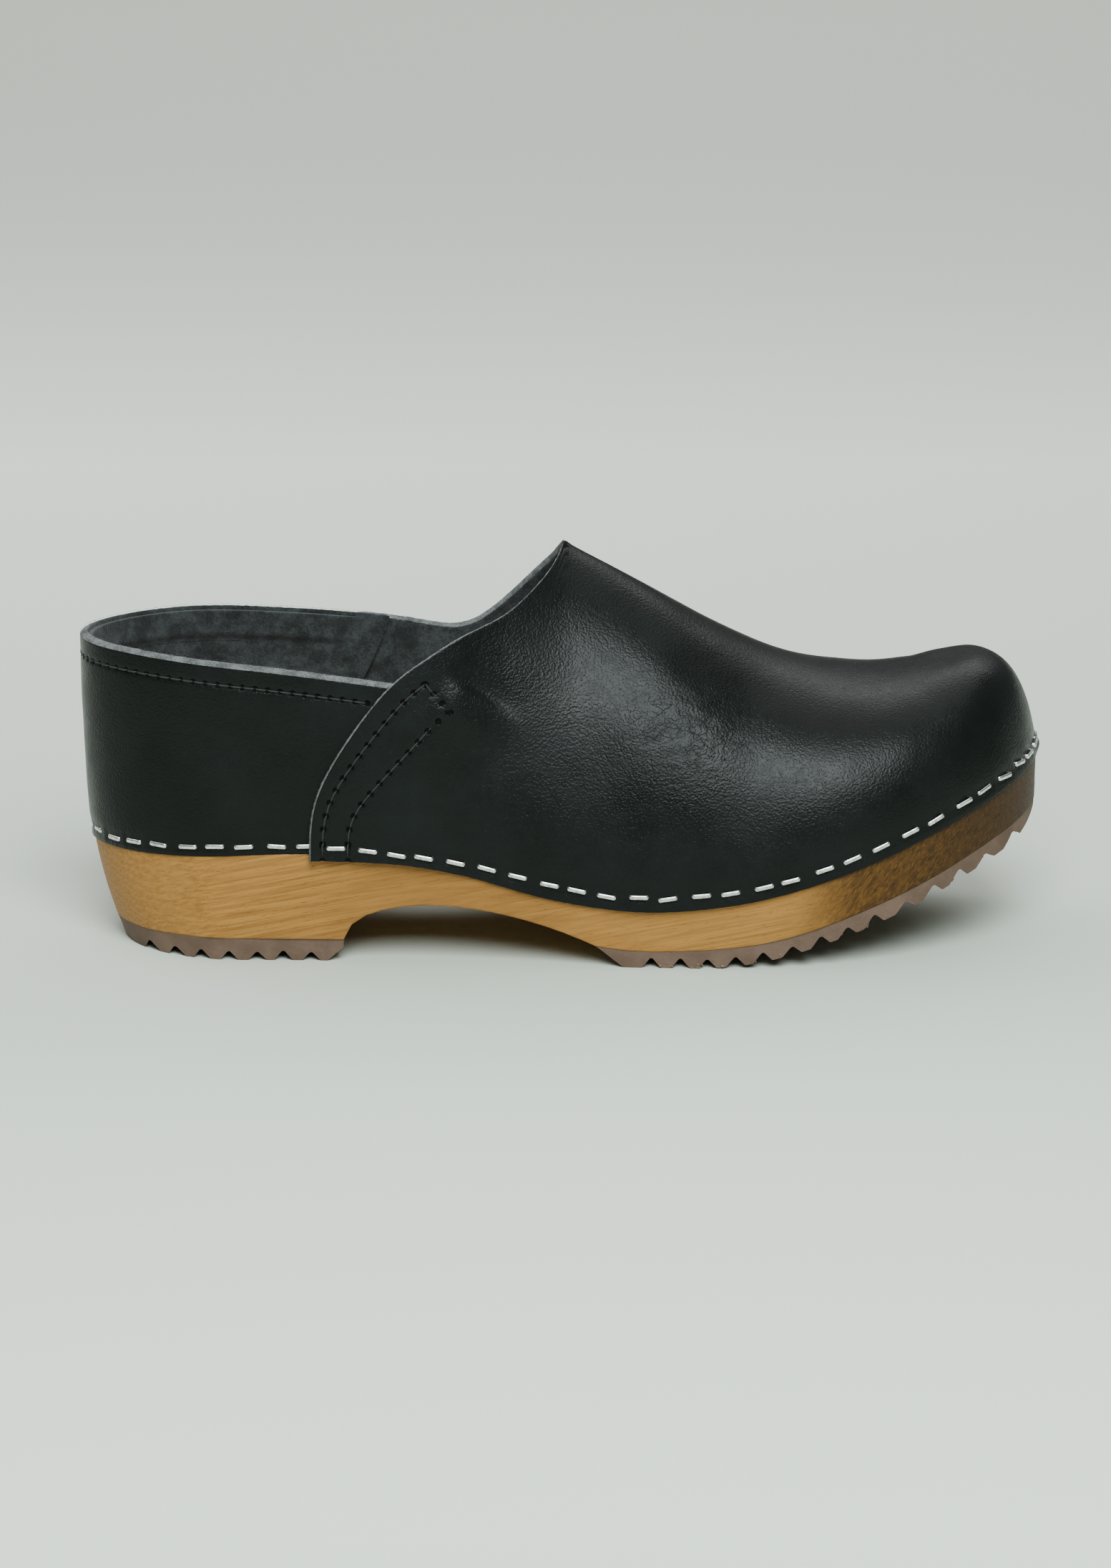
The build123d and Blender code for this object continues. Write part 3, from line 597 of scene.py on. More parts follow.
def staple_material():
    """Bright drawn steel wire, with fine draw lines and a few dull spots."""
    m = Finish("staple_steel")
    lines = m.noise(m.place((0.4, 1, 6)), 1.5, 4, 0.6)
    dull = m.noise(m.place(), 0.7, 3, 0.6)
    bright, stained = grey(0.86, (1, 0.99, 0.96)), grey(0.45, (1, 0.97, 0.92))
    return m.done({"Base Color": m.mix(m.spread(dull, 0.4, 0.75), bright, stained), "Metallic": 1.0,
                   "Roughness": m.spread(dull, 0.3, 0.8, 0.24, 0.45), "Normal": m.bump(lines, 0.02)})


def wood_material():
    """Oiled alder. The grain runs along the shoe, so the toe shows darker, flecked end grain. Painted shade
    darkens the very tip further, and the sole's middle under the arch.
    """
    m = Finish("oiled_alder")
    tilt = (0.0, 0.20, 0.03)
    pale, deep, ring_line = (0.370, 0.180, 0.041, 1), (0.200, 0.086, 0.016, 1), (0.24, 0.095, 0.018, 1)
    clear, pore_line = (0.374, 0.183, 0.043, 1), (0.12, 0.050, 0.012, 1)
    end_light, end_dark = (0.110, 0.048, 0.0055, 1), (0.036, 0.014, 0.002, 1)
    # the last colour here is the darkest end grain at the toe tip, which also serves as painted shade there
    fleck_light, tip_dark_and_shade = (0.230, 0.112, 0.017, 1), (0.022, 0.010, 0.0015, 1)

    wander = m.noise(m.place((0.008, 0.03, 0.03), tilt), 1.0, 2.0, output="Color")
    bent = m.vectors("ADD", m.place((0.012, 0.16, 0.16), tilt), wander)
    inputs = {"Vector": bent, "Scale": 0.9, "Distortion": 3.5, "Detail": 3.0, "Detail Scale": 1.2}
    rings = m.node("TexWave", inputs, wave_type="RINGS", rings_direction="X").outputs["Fac"]
    streak = m.noise(m.place((0.035, 1.0, 1.6), tilt), 1.0, 5, 0.65)
    fibre = m.noise(m.place((0.12, 5.0, 5.0), tilt), 1.0, 3, 0.6)
    pores = m.spread(m.cells(m.place((0.22, 2.6, 2.6), tilt), 1.0), 0.20, 0.05)
    cloud = m.noise(m.place(), 0.018, 3, 0.5)
    along_x = m.part(m.place(), "X")
    facing = m.part(m.node("NewGeometry").outputs["Normal"], "X")
    end_grain = m.times(m.spread(along_x, 42.0, 80.0),
                        m.spread(m.maths("ABSOLUTE", facing), -0.05, 0.28), clamp=True)
    # painted shade: the sole's middle, under the arch, is darkened towards the deep tone
    waist = m.spread(m.maths("ABSOLUTE", m.plus(along_x, 28.0)), 48.0, 8.0)

    base = m.mix(m.spread(streak, 0.38, 0.70), pale, deep)
    # the last of these mixes lays the painted shade over the sole's middle
    for share, strength, colour in ((m.spread(rings, 0.45, 0.95), 0.35, ring_line),
                                    (m.spread(cloud, 0.35, 0.7), 0.45, clear),
                                    (pores, 0.55, pore_line), (waist, 0.42, deep)):
        base = m.mix(m.times(share, strength), base, colour)

    slant = m.place((0.55, 1.6, 2.4), (0.0, 0.9, 0.0))
    flecks = m.spread(m.cells(slant, 0.75), 0.42, 0.12)
    ends = m.mix(m.spread(m.noise(slant, 0.6, 4, 0.7), 0.35, 0.68), end_light, end_dark)
    ends = m.mix(m.times(flecks, 0.45), ends, fleck_light)
    # darker end grain towards the tip, deepened by painted shade where the upturned toe wood faces down
    ends = m.mix(m.times(m.spread(along_x, 70.0, 122.0), 0.70), ends, tip_dark_and_shade)

    relief = m.node("Bevel", {"Radius": 0.7 * MM}, samples=6).outputs[0]
    for height, depth in ((fibre, 0.035), (streak, 0.06), (pores, -0.08)):
        relief = m.bump(height, depth, relief)
    return m.done({"Base Color": m.mix(end_grain, base, ends), "Specular IOR Level": 0.25,
                   "Roughness": m.spread(streak, 0.3, 0.7, 0.50, 0.62), "Normal": relief})


def rubber_material(name, dark, light):
    """Crepe-like tread rubber: mauve-brown, dusty, with crumbs of buffing residue."""
    m = Finish(name)
    mm = m.place()
    speck = m.noise(mm, 2.2, 4, 0.7)
    value = m.both(m.noise(mm, 0.09, 4, 0.6), speck)
    relief = m.bump(m.noise(mm, 0.8, 4, 0.65), 0.12)
    return m.done({"Base Color": m.mix(m.spread(value, 0.38, 0.64), dark, light),
                   "Roughness": m.spread(speck, 0.3, 0.7, 0.62, 0.85), "Specular IOR Level": 0.35,
                   "Normal": m.bump(speck, 0.05, relief)})


# ---------------- staples


def plan_points(heel_steps, toe_steps):
    """Points round the whole outline: outer side from heel to toe, then back along the inner side."""
    points = []
    for side in SIDES:
        angle = np.pi / 2 * np.arange(1, heel_steps) / heel_steps
        run = list(HEEL_X - (HEEL_X - SOLE_BACK_X) * np.cos(angle)) + [HEEL_X, 80, 115, 150, BALL_X]
        run += list(BALL_X + (TOE_TIP_X - BALL_X) * np.sin(np.pi / 2 * np.arange(1, toe_steps) / toe_steps))
        half = [(x, float(outline_y(x, side))) for x in run]
        points += [(SOLE_BACK_X, 0.0)] + half + [(TOE_TIP_X, TOE_TIP_Y)] if side == OUTER else half[::-1]
    return np.array(points + points[:1])


def staple_places():
    """Each staple as its middle, crown direction, outward direction, whether it holds the vamp, and lift."""
    rng = np.random.default_rng(11)
    walk = plan_points(14, 18)
    count = round(length_of(walk) / STAPLE_PITCH)
    spots = evenly(walk, 4 * count + 1)
    places = []
    for k in range(count):
        along = unit(spots[4 * k + 3] - spots[4 * k + 1])
        x, y = spots[4 * k + 2] + along * rng.uniform(-0.75, 0.75)
        side = OUTER if y < 0 else INNER
        if HEEL_X < x < BALL_X:
            y = float(outline_y(x, side))
        on_vamp = x > THROAT[side][1][0] + 1.5
        proud = VAMP_PROUD + lap_rise(x) if x > THROAT[side][1][0] else QUARTER_PROUD
        toe = float(smooth((x - 205) / 40))
        slope = (leather_edge(x + 1) - leather_edge(x - 1)) / 2 * along[0]
        slope += rng.normal() * (0.045 + 0.12 * toe)
        run = unit(np.array([along[0], along[1], float(slope)]))
        out = np.array([along[1], -along[0], 0.0])
        raised = VAMP_STAPLE_LIFT * float(smooth((x - LAP_END_X) / LAP_FADE))
        height = float(leather_edge(x)) + STAPLE_HEIGHT + raised + rng.uniform(-0.35, 0.35)
        proud -= TOE_TUCK * float(smooth((x - TOE_TUCK_X) / TOE_TUCK_LONG))
        lift = rng.uniform(0.0, 0.12) + (rng.uniform(0.1, 0.75) * toe if rng.random() < 0.6 else 0.0)
        places.append((np.array([x, y, height]) + out * proud, run, out, on_vamp, lift))
    return places


STAPLES = staple_places()


def staple_dimples(points):
    """How deep the crowns pull the leather in round them, in mm."""
    spots = [p[0] + p[1] * shift for p in STAPLES for shift in (-2.2, 0.0, 2.2)]
    return DIMPLE_DEEP * nearness(points, spots, DIMPLE_RADIUS)


def make_staples(name, vamp, node, material):
    tubes = []
    bend = np.linspace(0, np.pi / 2, 5)
    radius, half = CROWN_BEND, CROWN_LONG / 2 - WIRE / 2
    for middle, run, out, on_vamp, lift in STAPLES:
        if on_vamp != vamp:
            continue
        corner = [(-half + radius - radius * math.cos(a), radius * math.sin(a) - radius) for a in bend]
        flat = [(-half, -LEG), (-half, -1.2)] + corner
        flat += [(t * (half - radius), 0.0) for t in np.linspace(-0.6, 0.6, 5)]
        flat += [(-t, n) for t, n in reversed(flat[:2 + len(corner)])]
        path = []
        for t, n in flat:
            raised = lift * (t / half + 1) / 2
            path.append(middle + run * t + out * (n + WIRE / 2 - CROWN_SINK + raised))
        broad = np.cross(out, run)
        tubes.append(tube(path, np.tile(broad, (len(path), 1)), CROWN_WIDE * 1.08, WIRE * 1.12, 10))
    add_tubes(name, tubes, material, [node])


# ---------------- seams


def seam_rows(side):
    """The two rows beside the vamp's back edge and the short row that joins their tops, on the surface."""
    throat = smooth_line(THROAT[side], 200)
    step = np.diff(throat, axis=0)
    run = np.linalg.norm(step, axis=1)
    rows = []
    for (near, far), highest in zip(SEAM_ROWS, SEAM_TOP[side]):
        distance = near + (far - near) * smooth((throat[:-1, 1] - 35.0) / 40.0)
        x = throat[:-1, 0] + distance * step[:, 1] / run
        z = throat[:-1, 1] - distance * step[:, 0] / run
        keep = (z > leather_edge(x) - 0.2) & (z < highest)
        keep &= (throat[:-1, 0] < x) & (x < SEAM_END_X[side])
        rows.append(np.stack([x[keep], z[keep]], axis=1))
    rows.append(np.stack([rows[0][-1], rows[1][-1]]))
    return [evenly(row, max(int(length_of(row) / 0.8), 3)) for row in rows]


def on_vamp(row, side):
    return flank(row[:, 0], row[:, 1], side, VAMP_PROUD + lap_rise(row[:, 0]))


def topline_row():
    """The row of stitches under the rim, from the outer side round the heel to the inner side."""
    angle = np.linspace(0, np.pi / 2, 40)[1:]
    line = []
    for side in SIDES:
        x = np.concatenate([np.linspace(TOPLINE_ROW_END[side], HEEL_X, 40)[:-1],
                            HEEL_X - (HEEL_X - heel_back(79.0) + QUARTER_PROUD) * np.sin(angle)])
        half = quarter_point(x, topline[side](x) - TOPLINE_ROW, side, QUARTER_PROUD)
        line.append(half if side == OUTER else half[::-1][1:])
    return np.concatenate(line)


def needle_dips(along, across, pitch, radius):
    """1 in the middle of each needle hole, falling away over the radius."""
    gap = (np.abs(along - np.round(along)) * pitch) ** 2 + across**2
    return np.exp(-gap / radius**2)


def stitch_fields(along, across, count):
    """Seam attributes for a mesh of count points that starts with the outer grid."""
    extra = count - along.size
    return {"stitch_along": np.concatenate([along.ravel(), np.zeros(extra)]),
            "stitch_across": np.concatenate([across.ravel(), np.full(extra, 99.0)])}


def make_stitches(name, lines, pitch, node, material, inside):
    """Thread from hole to hole, lying in the seam and dipping into each needle hole."""
    rng = np.random.default_rng(len(name))
    tubes = []
    for line in lines:
        spots = evenly(line, round(length_of(line) / pitch) + 1)
        for a, b in zip(spots, spots[1:]):
            out = unit((a + b) / 2 - inside)
            out[2] = 0.0
            t = np.linspace(0.04, 0.96, 9)
            dip = -0.55 * np.exp(-(np.minimum(t, 1 - t) * pitch / 0.45) ** 2)
            dip = dip + 0.02 + rng.normal() * 0.015
            path = a + (b - a) * t[:, None] + unit(out) * dip[:, None]
            tubes.append(tube(path, np.tile([0.0, 0.0, 1.0], (9, 1)), 0.52, 0.42, 8))
    add_tubes(name, tubes, material, [node])


# ---------------- vamp

VAMP_ROWS, THROAT_COLUMNS, SPINE_COLUMNS, DOME_COLUMNS = 131, 112, 72, 48


def vamp_side(side, grow):
    """x and lean of the vamp's grid on one side, from the back edge to where the dome begins."""
    line = smooth_line(THROAT[side], 900)
    corner = CORNER_X[side]
    corner_z = np.interp(corner, line[:, 0], line[:, 1])
    top = line[(line[:, 0] >= corner) & (line[:, 0] < PEAK_X - 0.7)]
    top = np.vstack([top, [PEAK_X, ridge(PEAK_X) + grow]])
    fall = topline[side](corner) - topline[side](corner - 1)

    def angle_at(x, z):
        return np.arcsin(section_lean(x, z, grow + lap_rise(x)))

    def top_angle(x):
        throat = angle_at(x, np.interp(x, top[:, 0], top[:, 1]))
        before = angle_at(x, corner_z + fall * (x - corner))
        return np.where(x < corner, before, np.where(x < PEAK_X, throat, 0.0))

    back = line[(line[:, 0] <= corner) & (line[:, 1] > leather_edge(line[:, 0]))]
    share = (np.pi / 2 - angle_at(back[:, 0], back[:, 1])) / (np.pi / 2 - top_angle(back[:, 0]))
    share = np.maximum.accumulate(share)
    rows = np.linspace(0, 1, VAMP_ROWS)
    back_x = np.concatenate([back[:1, 0], back[:, 0], [corner]])
    start = np.interp(rows, np.concatenate([[0.0], share, [1.0]]), back_x)
    throat = flank(top[:, 0], top[:, 1], side, grow + lap_rise(top[:, 0]))
    along_top = evenly(throat, THROAT_COLUMNS + 1)[:, 0]
    along_top = np.concatenate([along_top, np.linspace(PEAK_X, DOME_X, SPINE_COLUMNS + 1)[1:]])
    share = (along_top - corner) / (DOME_X - corner)
    x = start[:, None] + share[None, :] * (DOME_X - start[:, None])
    own = top_angle(x)
    ease = float(top_angle(np.array(PEAK_X - 4.5))) * (1 - smooth((x - PEAK_X) / 40.0))
    lift = np.maximum(ease - own, 0.0) * smooth((x - PEAK_X + 12) / 8) * (1 - rows[:, None] ** 2)
    angle = np.pi / 2 - rows[:, None] * (np.pi / 2 - own - lift)
    return x, np.sin(angle)


def vamp_grid(params, grow):
    """The vamp's surface as U-shaped rows: outer side, round the toe, inner side."""
    parts = []
    lean = np.sin(np.pi / 2 * (1 - np.linspace(0, 1, VAMP_ROWS)))[:, None]
    for side in SIDES:
        x, out = params[side]
        wide = grow + lap_rise(x)
        y = spine_y(x) + (outline_y(x, side, wide) - spine_y(x)) * out
        body = np.stack([x, y, surface_height(x, out, wide)], axis=-1)
        power, reach = TOE_POWER[side], TOE_TIP_X + grow - BALL_X
        first = math.asin(((DOME_X - BALL_X) / reach) ** (power / 2))
        turn = np.linspace(first, np.pi / 2, DOME_COLUMNS + 1)[1:]
        rim_x = BALL_X + reach * np.sin(turn) ** (2 / power)
        rim_y = TOE_TIP_Y + side * (BALL_HALF[side] + grow - side * TOE_TIP_Y) * np.cos(turn) ** (2 / power)
        dome_x = DOME_X + (rim_x - DOME_X) * lean
        dome_y = spine_y(DOME_X) + (rim_y - spine_y(DOME_X)) * lean
        dome = np.stack([dome_x, dome_y, tip_height(dome_x, lean, rim_x, grow)], axis=-1)
        parts.append(np.concatenate([body, dome], axis=1))
    return np.concatenate([parts[0], parts[1][:, :-1][:, ::-1]], axis=1)


def vamp_relief(points, normals):
    """Large soft forms of the worn-in vamp, in mm along the normal."""
    outer = normals[..., 1] < 0
    along = unit(np.array(LAP_RIDGE_WAY))
    gap = points - np.array(LAP_RIDGE)
    run, off = gap @ along, gap @ np.array([0.55, 0.0, 0.83])
    ridge_line = smooth((run + 6) / 8) * (1 - smooth((run - 6) / 16))
    bulge = 1.05 * ridge_line * (1 - smooth((off + 0.5) / 3.5)) * smooth((off + 16) / 12) * outer
    dent = -0.55 * ridge_line * bell((off - 3.0) / 4.0) * outer
    soft = 0.16 * ripple(points, 42.0, 3) + 0.05 * ripple(points, 15.0, 4)
    flex = np.exp(-(((points[..., 0] - CREASE_X) / 16) ** 2) - (((points[..., 2] - FLEX_Z) / 10) ** 2))
    lines = flex * 0.10 * ripple(points * np.array([1.0, 0.4, 1.6]), 5.0, 8)
    return bulge + dent + soft + lines


def toe_pleat(points):
    """The small beak of gathered leather over the toe's tip, in mm."""
    tip = np.array([TOE_TIP_X + VAMP_PROUD - 0.4, TOE_TIP_Y, PLEAT_Z])
    gap = (points - tip) / np.array(PLEAT_SIZE)
    return PLEAT_TALL * np.exp(-(gap**2).sum(axis=-1))


def make_vamp(materials):
    params = {side: vamp_side(side, VAMP_PROUD) for side in SIDES}
    outer = vamp_grid(params, VAMP_PROUD)
    inner = vamp_grid(params, VAMP_PROUD - LEATHER)
    level = np.ones(outer.shape[:2])
    centre = np.stack([outer[..., 0], 5.0 * level, 30.0 * level], axis=-1)
    normals = grid_normals(outer, outer - centre)
    dome = slice(outer.shape[1] // 2 - DOME_COLUMNS, outer.shape[1] // 2 + DOME_COLUMNS + 1)
    normals[-1, dome] = (0.0, 0.0, 1.0)
    form = vamp_relief(outer, normals)[..., None] * normals
    pleat = toe_pleat(outer)[..., None] * np.array([1.0, 0.1, 0.0])
    rows = {side: [on_vamp(row, side) for row in seam_rows(side)] for side in SIDES}
    fields = [seam_field(outer, rows[side], SEAM_PITCH) for side in SIDES]
    nearer = fields[0][1] < fields[1][1]
    along, across = [np.where(nearer, *pair) for pair in zip(*fields)]
    hole = needle_dips(along, across, SEAM_PITCH, 0.65)
    dimples = staple_dimples(outer)
    press = dimples + 0.12 * bell(across / 0.9) + 0.45 * hole
    above = outer[..., 2] - leather_edge(outer[..., 0])
    hang = LAP_HANG * (1 - smooth((outer[..., 0] - 72) / 26)) * (1 - smooth(above / 7))
    drop = np.stack([np.zeros_like(hang), np.zeros_like(hang), -hang], axis=-1)
    front = outer + form + pleat + drop - press[..., None] * normals
    behind = inner + form + pleat + drop - 0.3 * dimples[..., None] * normals
    cut = [(0.05, 0.16), (0.22, 0.40), (0.5, 0.45), (0.78, 0.40), (0.96, 0.15)]
    low = [(0.05, 0.10), (0.22, 0.22), (0.5, 0.25), (0.78, 0.2), (0.96, 0.1)]
    columns = outer.shape[1]
    throat = [*range(THROAT_COLUMNS + 1), *range(columns - THROAT_COLUMNS, columns)]
    edges = ring_edges(VAMP_ROWS, columns, throat, cut, cut, low)
    points, blocks, kinds = leather_piece(front, behind, edges, 0.05, 21)
    add_mesh("vamp_leather", points, blocks, kinds, materials, ["vamp"],
             stitch_fields(along, across, len(points)), weld=True)
    return front, behind, rows


# ---------------- quarter and band

ARC_COLUMNS, WALL_COLUMNS, TOP_ROWS, LOW_ROWS = 80, 70, 20, 40


def heel_back(z):
    return SOLE_BACK_X - HEEL_LEAN * (1 - np.maximum((84.0 - z) / 56.0, 0.0) ** 3) - 0.3


def quarter_point(x, z, side, grow):
    pull = np.sqrt(1 - np.maximum((z - 30.0) / WALL_REACH, 0.0) ** 2)
    return np.stack([x, outline_y(x, side, grow, heel_back(z)) * pull, z], axis=-1)


def quarter_grid(grow, drop, tall=None, short=0.0):
    """The quarter's surface: rows up from the wood to the rim, columns round the heel."""
    shares = np.linspace(0, 1, LOW_ROWS + 1)[:-1]
    parts = []
    for side in SIDES:
        front = smooth_line(QUARTER_FRONT[side], 200)
        x = np.concatenate([np.linspace(95, HEEL_X, WALL_COLUMNS + 1)[:-1],
                            HEEL_X - 43.0 * np.sin(np.linspace(0, np.pi / 2, ARC_COLUMNS + 1))])
        x = np.tile(x, (LOW_ROWS + TOP_ROWS + 1, 1))
        for _ in range(6):
            top = topline[side](x) - drop
            low = leather_edge(x) if tall is None else top - tall
            band = np.minimum(8.5, (top - low) * 0.5)
            z = np.empty_like(x)
            z[:LOW_ROWS] = low[:LOW_ROWS] + (top - band - low)[:LOW_ROWS] * shares[:, None]
            rise = np.linspace(0, 1, TOP_ROWS + 1)[:, None]
            z[LOW_ROWS:] = (top - band)[LOW_ROWS:] + band[LOW_ROWS:] * rise
            end = np.interp(z[:, :WALL_COLUMNS], front[:, 1], front[:, 0]) - short
            share = np.linspace(0, 1, WALL_COLUMNS + 1)[:-1]
            x[:, :WALL_COLUMNS] = end + (HEEL_X - end) * share
            turn = np.linspace(0, np.pi / 2, ARC_COLUMNS + 1)
            x[:, WALL_COLUMNS:] = HEEL_X - (HEEL_X - heel_back(z[:, WALL_COLUMNS:]) + grow) * np.sin(turn)
        parts.append(quarter_point(x, z, side, grow))
    return np.concatenate([parts[0], parts[1][:, :-1][:, ::-1]], axis=1)


def make_quarter(materials):
    outer = quarter_grid(QUARTER_PROUD, RIM_DROP)
    inner = quarter_grid(QUARTER_PROUD - LEATHER, 0.0)
    middle = np.array([HEEL_X, 0.0, 0.0])
    normals = grid_normals(outer, (outer - middle) * np.array([1.0, 1.0, 0.0]))
    row = topline_row()
    along, across = seam_field(outer, [row], TOPLINE_PITCH)
    hole = needle_dips(along, across, TOPLINE_PITCH, 0.6)
    soft = (0.12 * ripple(outer, 40.0, 5) + 0.04 * ripple(outer, 13.0, 6))[..., None] * normals
    press = staple_dimples(outer) + 0.12 * bell(across / 0.9) + 0.42 * hole
    front = outer + soft - press[..., None] * normals
    behind = inner + soft
    rim = [(0.08, 0.26), (0.25, 0.46), (0.5, 0.58), (0.75, 0.60), (0.95, 0.54)]
    plain = [(0.05, 0.14), (0.22, 0.3), (0.5, 0.36), (0.78, 0.3), (0.96, 0.14)]
    low = [(0.05, 0.08), (0.22, 0.16), (0.5, 0.18), (0.78, 0.16), (0.96, 0.08)]
    rows, columns = outer.shape[:2]
    edges = ring_edges(rows, columns, range(columns), rim, plain, low)
    points, blocks, kinds = leather_piece(front, behind, edges, 0.035, 31)
    add_mesh("quarter_leather", points, blocks, kinds, materials, ["heel_quarter"],
             stitch_fields(along, across, len(points)))
    return outer, inner, row


def make_band(materials):
    """The facing strip glued inside the rim."""
    outer = quarter_grid(QUARTER_PROUD - LEATHER - 0.02, BAND_DROP, BAND_TALL, BAND_SHORT)
    inner = quarter_grid(QUARTER_PROUD - LEATHER - BAND_THICK, BAND_DROP, BAND_TALL, BAND_SHORT)
    rows, columns = outer.shape[:2]
    row, column = np.arange(rows), np.arange(columns)
    skive = smooth(row / 26.0)[:, None] * smooth(np.minimum(column, column[::-1]) / 16.0)
    inner = outer + (inner - outer) * (0.03 + 0.97 * skive)[..., None]
    edge = [(0.05, 0.01), (0.25, 0.02), (0.5, 0.02), (0.75, 0.02), (0.95, 0.01)]
    around = ring_edges(rows, columns, range(columns), edge, edge, edge)
    edges = [(r, c, further, 0, profile) for r, c, further, _, profile in around]
    points, blocks, kinds = leather_piece(outer, inner, edges, 0.01, 41)
    add_mesh("topline_facing", points, blocks, kinds, materials, ["topline_band"])


# ---------------- fibres


def make_fibres(name, roots, ways, longest, thick, material, seed, share=1.0):
    """Short frayed fibres standing on a cut edge."""
    rng = np.random.default_rng(seed)
    tubes = []
    for root, way in zip(roots, ways):
        if rng.random() > share:
            continue
        lean = unit(way + rng.normal(size=3) * 0.55)
        side = unit(np.cross(lean, rng.normal(size=3)))
        long = longest * rng.uniform(0.25, 1.0) ** 1.6
        curl = side * long * rng.uniform(-0.35, 0.35)
        t = np.linspace(0, 1, 4)[:, None]
        path = root - lean * 0.12 + lean * long * t + curl * t**2
        points, walls, caps = tube(path, np.tile(side, (4, 1)), thick, thick, 3)
        tip = points[-3:].mean(axis=0)
        points[-3:] = tip + (points[-3:] - tip) * 0.25
        tubes.append((points, walls, caps))
    add_tubes(name, tubes, material)


def edge_roots(front, behind, line, further, count, seed):
    """Places over a cut edge between the outer and inner faces, and the way out of the leather there."""
    rng = np.random.default_rng(seed)
    out, back, near = (random_places(g, count) for g in (front[line], behind[line], front[further]))
    share = rng.uniform(0.1, 0.98, count)[:, None]
    away = unit(out - near)
    return out + (back - out) * share + away * 0.25, away


def random_places(line, count):
    """count points on the line, at the same random places for every line with that count."""
    place = np.random.default_rng(count).uniform(0, len(line) - 1.001, count)
    i = place.astype(int)
    return line[i] + (line[i + 1] - line[i]) * (place - i)[:, None]


# ---------------- treads


def tread_plan(x, side, z):
    """x and y of the tread's side at height z, for the ring that is at x along its top."""
    z = np.asarray(z, float)
    share = np.clip(z / PLAN_Z, 0, 1)
    if x < HEEL_X:
        turn = min((HEEL_X - x) / (HEEL_X - TREAD_BACK[1]), 1.0)
        back = TREAD_BACK[0] + (TREAD_BACK[1] - TREAD_BACK[0]) * np.clip(z / TREAD_TOP, 0, 1)
        wide = HEEL_HALF[side] - SIDE_TAPER * (1 - share)
        return HEEL_X - turn * (HEEL_X - back), side * wide * math.sqrt(1 - turn * turn)
    low = float(outline_y(x, side, -SIDE_TAPER))
    return x + 0 * z, low + (float(outline_y(x, side)) - low) * share


def make_tread(name, node, xs, under, over, grooves, seed, material):
    """A tread as rings across the shoe, one for each x, with a toothed underside."""
    rng = np.random.default_rng(seed)
    across, up = 26, 7
    centres = [g + rng.uniform(-0.35, 0.35) for g in grooves]
    depths = [GROOVE_DEPTH + rng.uniform(-0.45, 0.15) for _ in grooves]
    tops = [rng.uniform(-0.45, 0.45) for _ in grooves]
    rings = []
    for x in xs:
        v = np.linspace(0, 1, across)
        left, right = tread_plan(x, OUTER, 2.0)[1], tread_plan(x, INNER, 2.0)[1]
        y_line = left + (right - left) * v
        sway = 0.16 * np.sin(y_line * 0.35 + x * 0.02) + 0.08 * np.sin(y_line * 1.3 + 2.0)
        cut = np.zeros(across)
        for centre, depth, lean in zip(centres, depths, tops):
            gap = (x - centre - sway) + lean * 0.3
            share = np.clip(1 - (np.abs(gap) - 0.35) / (GROOVE_HALF - 0.35), 0, 1)
            cut = np.maximum(cut, depth * share)
        z_low, z_high = under(x) + cut, over(x)
        z_low = np.minimum(z_low, z_high - 0.4)
        walls = []
        for side, z0 in ((INNER, z_low[-1]), (OUTER, z_low[0])):
            z = z0 + (z_high - z0) * np.linspace(0, 1, up)[1:-1]
            walls.append(np.stack([*tread_plan(x, side, z), z], axis=1))
        ends = [tread_plan(x, side, z)[1] for side, z in ((OUTER, z_low[0]), (INNER, z_low[-1]))]
        y_bottom = np.concatenate([[ends[0]], y_line[1:-1], [ends[1]]])
        bottom = np.stack([tread_plan(x, OUTER, z_low)[0], y_bottom, z_low], axis=1)
        top_x, left, right = *tread_plan(x, OUTER, z_high), tread_plan(x, INNER, z_high)[1]
        top = np.stack([np.full(across, top_x), left + (right - left) * v, np.full(across, z_high)], axis=1)
        rings.append(np.concatenate([bottom, walls[0], top[::-1], walls[1][::-1]]))
    rings = np.array(rings)
    count = rings.shape[1]
    index = np.arange(rings.shape[0] * count).reshape(rings.shape[0], count)
    piece = add_mesh(name, rings.reshape(-1, 3), [ring_walls(index), index[[0, -1]]], [0, 0], [material],
                     [node], weld=True)
    piece.data.set_sharp_from_angle(angle=math.radians(38))


def make_crumbs(name, spots, sizes, material, seed):
    """Small ragged crumbs of rubber left on the teeth."""
    rng = np.random.default_rng(seed)
    ball = bmesh.new()
    bmesh.ops.create_icosphere(ball, subdivisions=2, radius=1.0)
    shape = np.array([v.co for v in ball.verts])
    faces = np.array([[v.index for v in f.verts] for f in ball.faces])
    ball.free()
    points, blocks, total = [], [], 0
    for spot, size in zip(spots, sizes):
        rough = 1 + 0.35 * ripple(shape, 1.1, int(rng.integers(1 << 30)), 6)
        blob = shape * rough[:, None] * rng.uniform(0.6, 1.3, 3) * size
        points.append(blob + spot)
        blocks.append(faces + total)
        total += len(shape)
    add_mesh(name, np.concatenate(points), [np.concatenate(blocks)], [0], [material])


def tread_under(x):
    """Height of the forepart tread's underside: slanted at its back, worn away at the toe."""
    worn = min(TOE_WEAR * max(x - TOE_WEAR_X, 0.0) ** 2, FOREPART_THICK - 1.0)
    slant = WOOD_BOTTOM[0][1] - (x - WOOD_BOTTOM[0][0]) * 0.8
    return float(max(wood_bottom(x) - FOREPART_THICK + worn, min(slant, wood_bottom(x) - 0.3), 0.0))


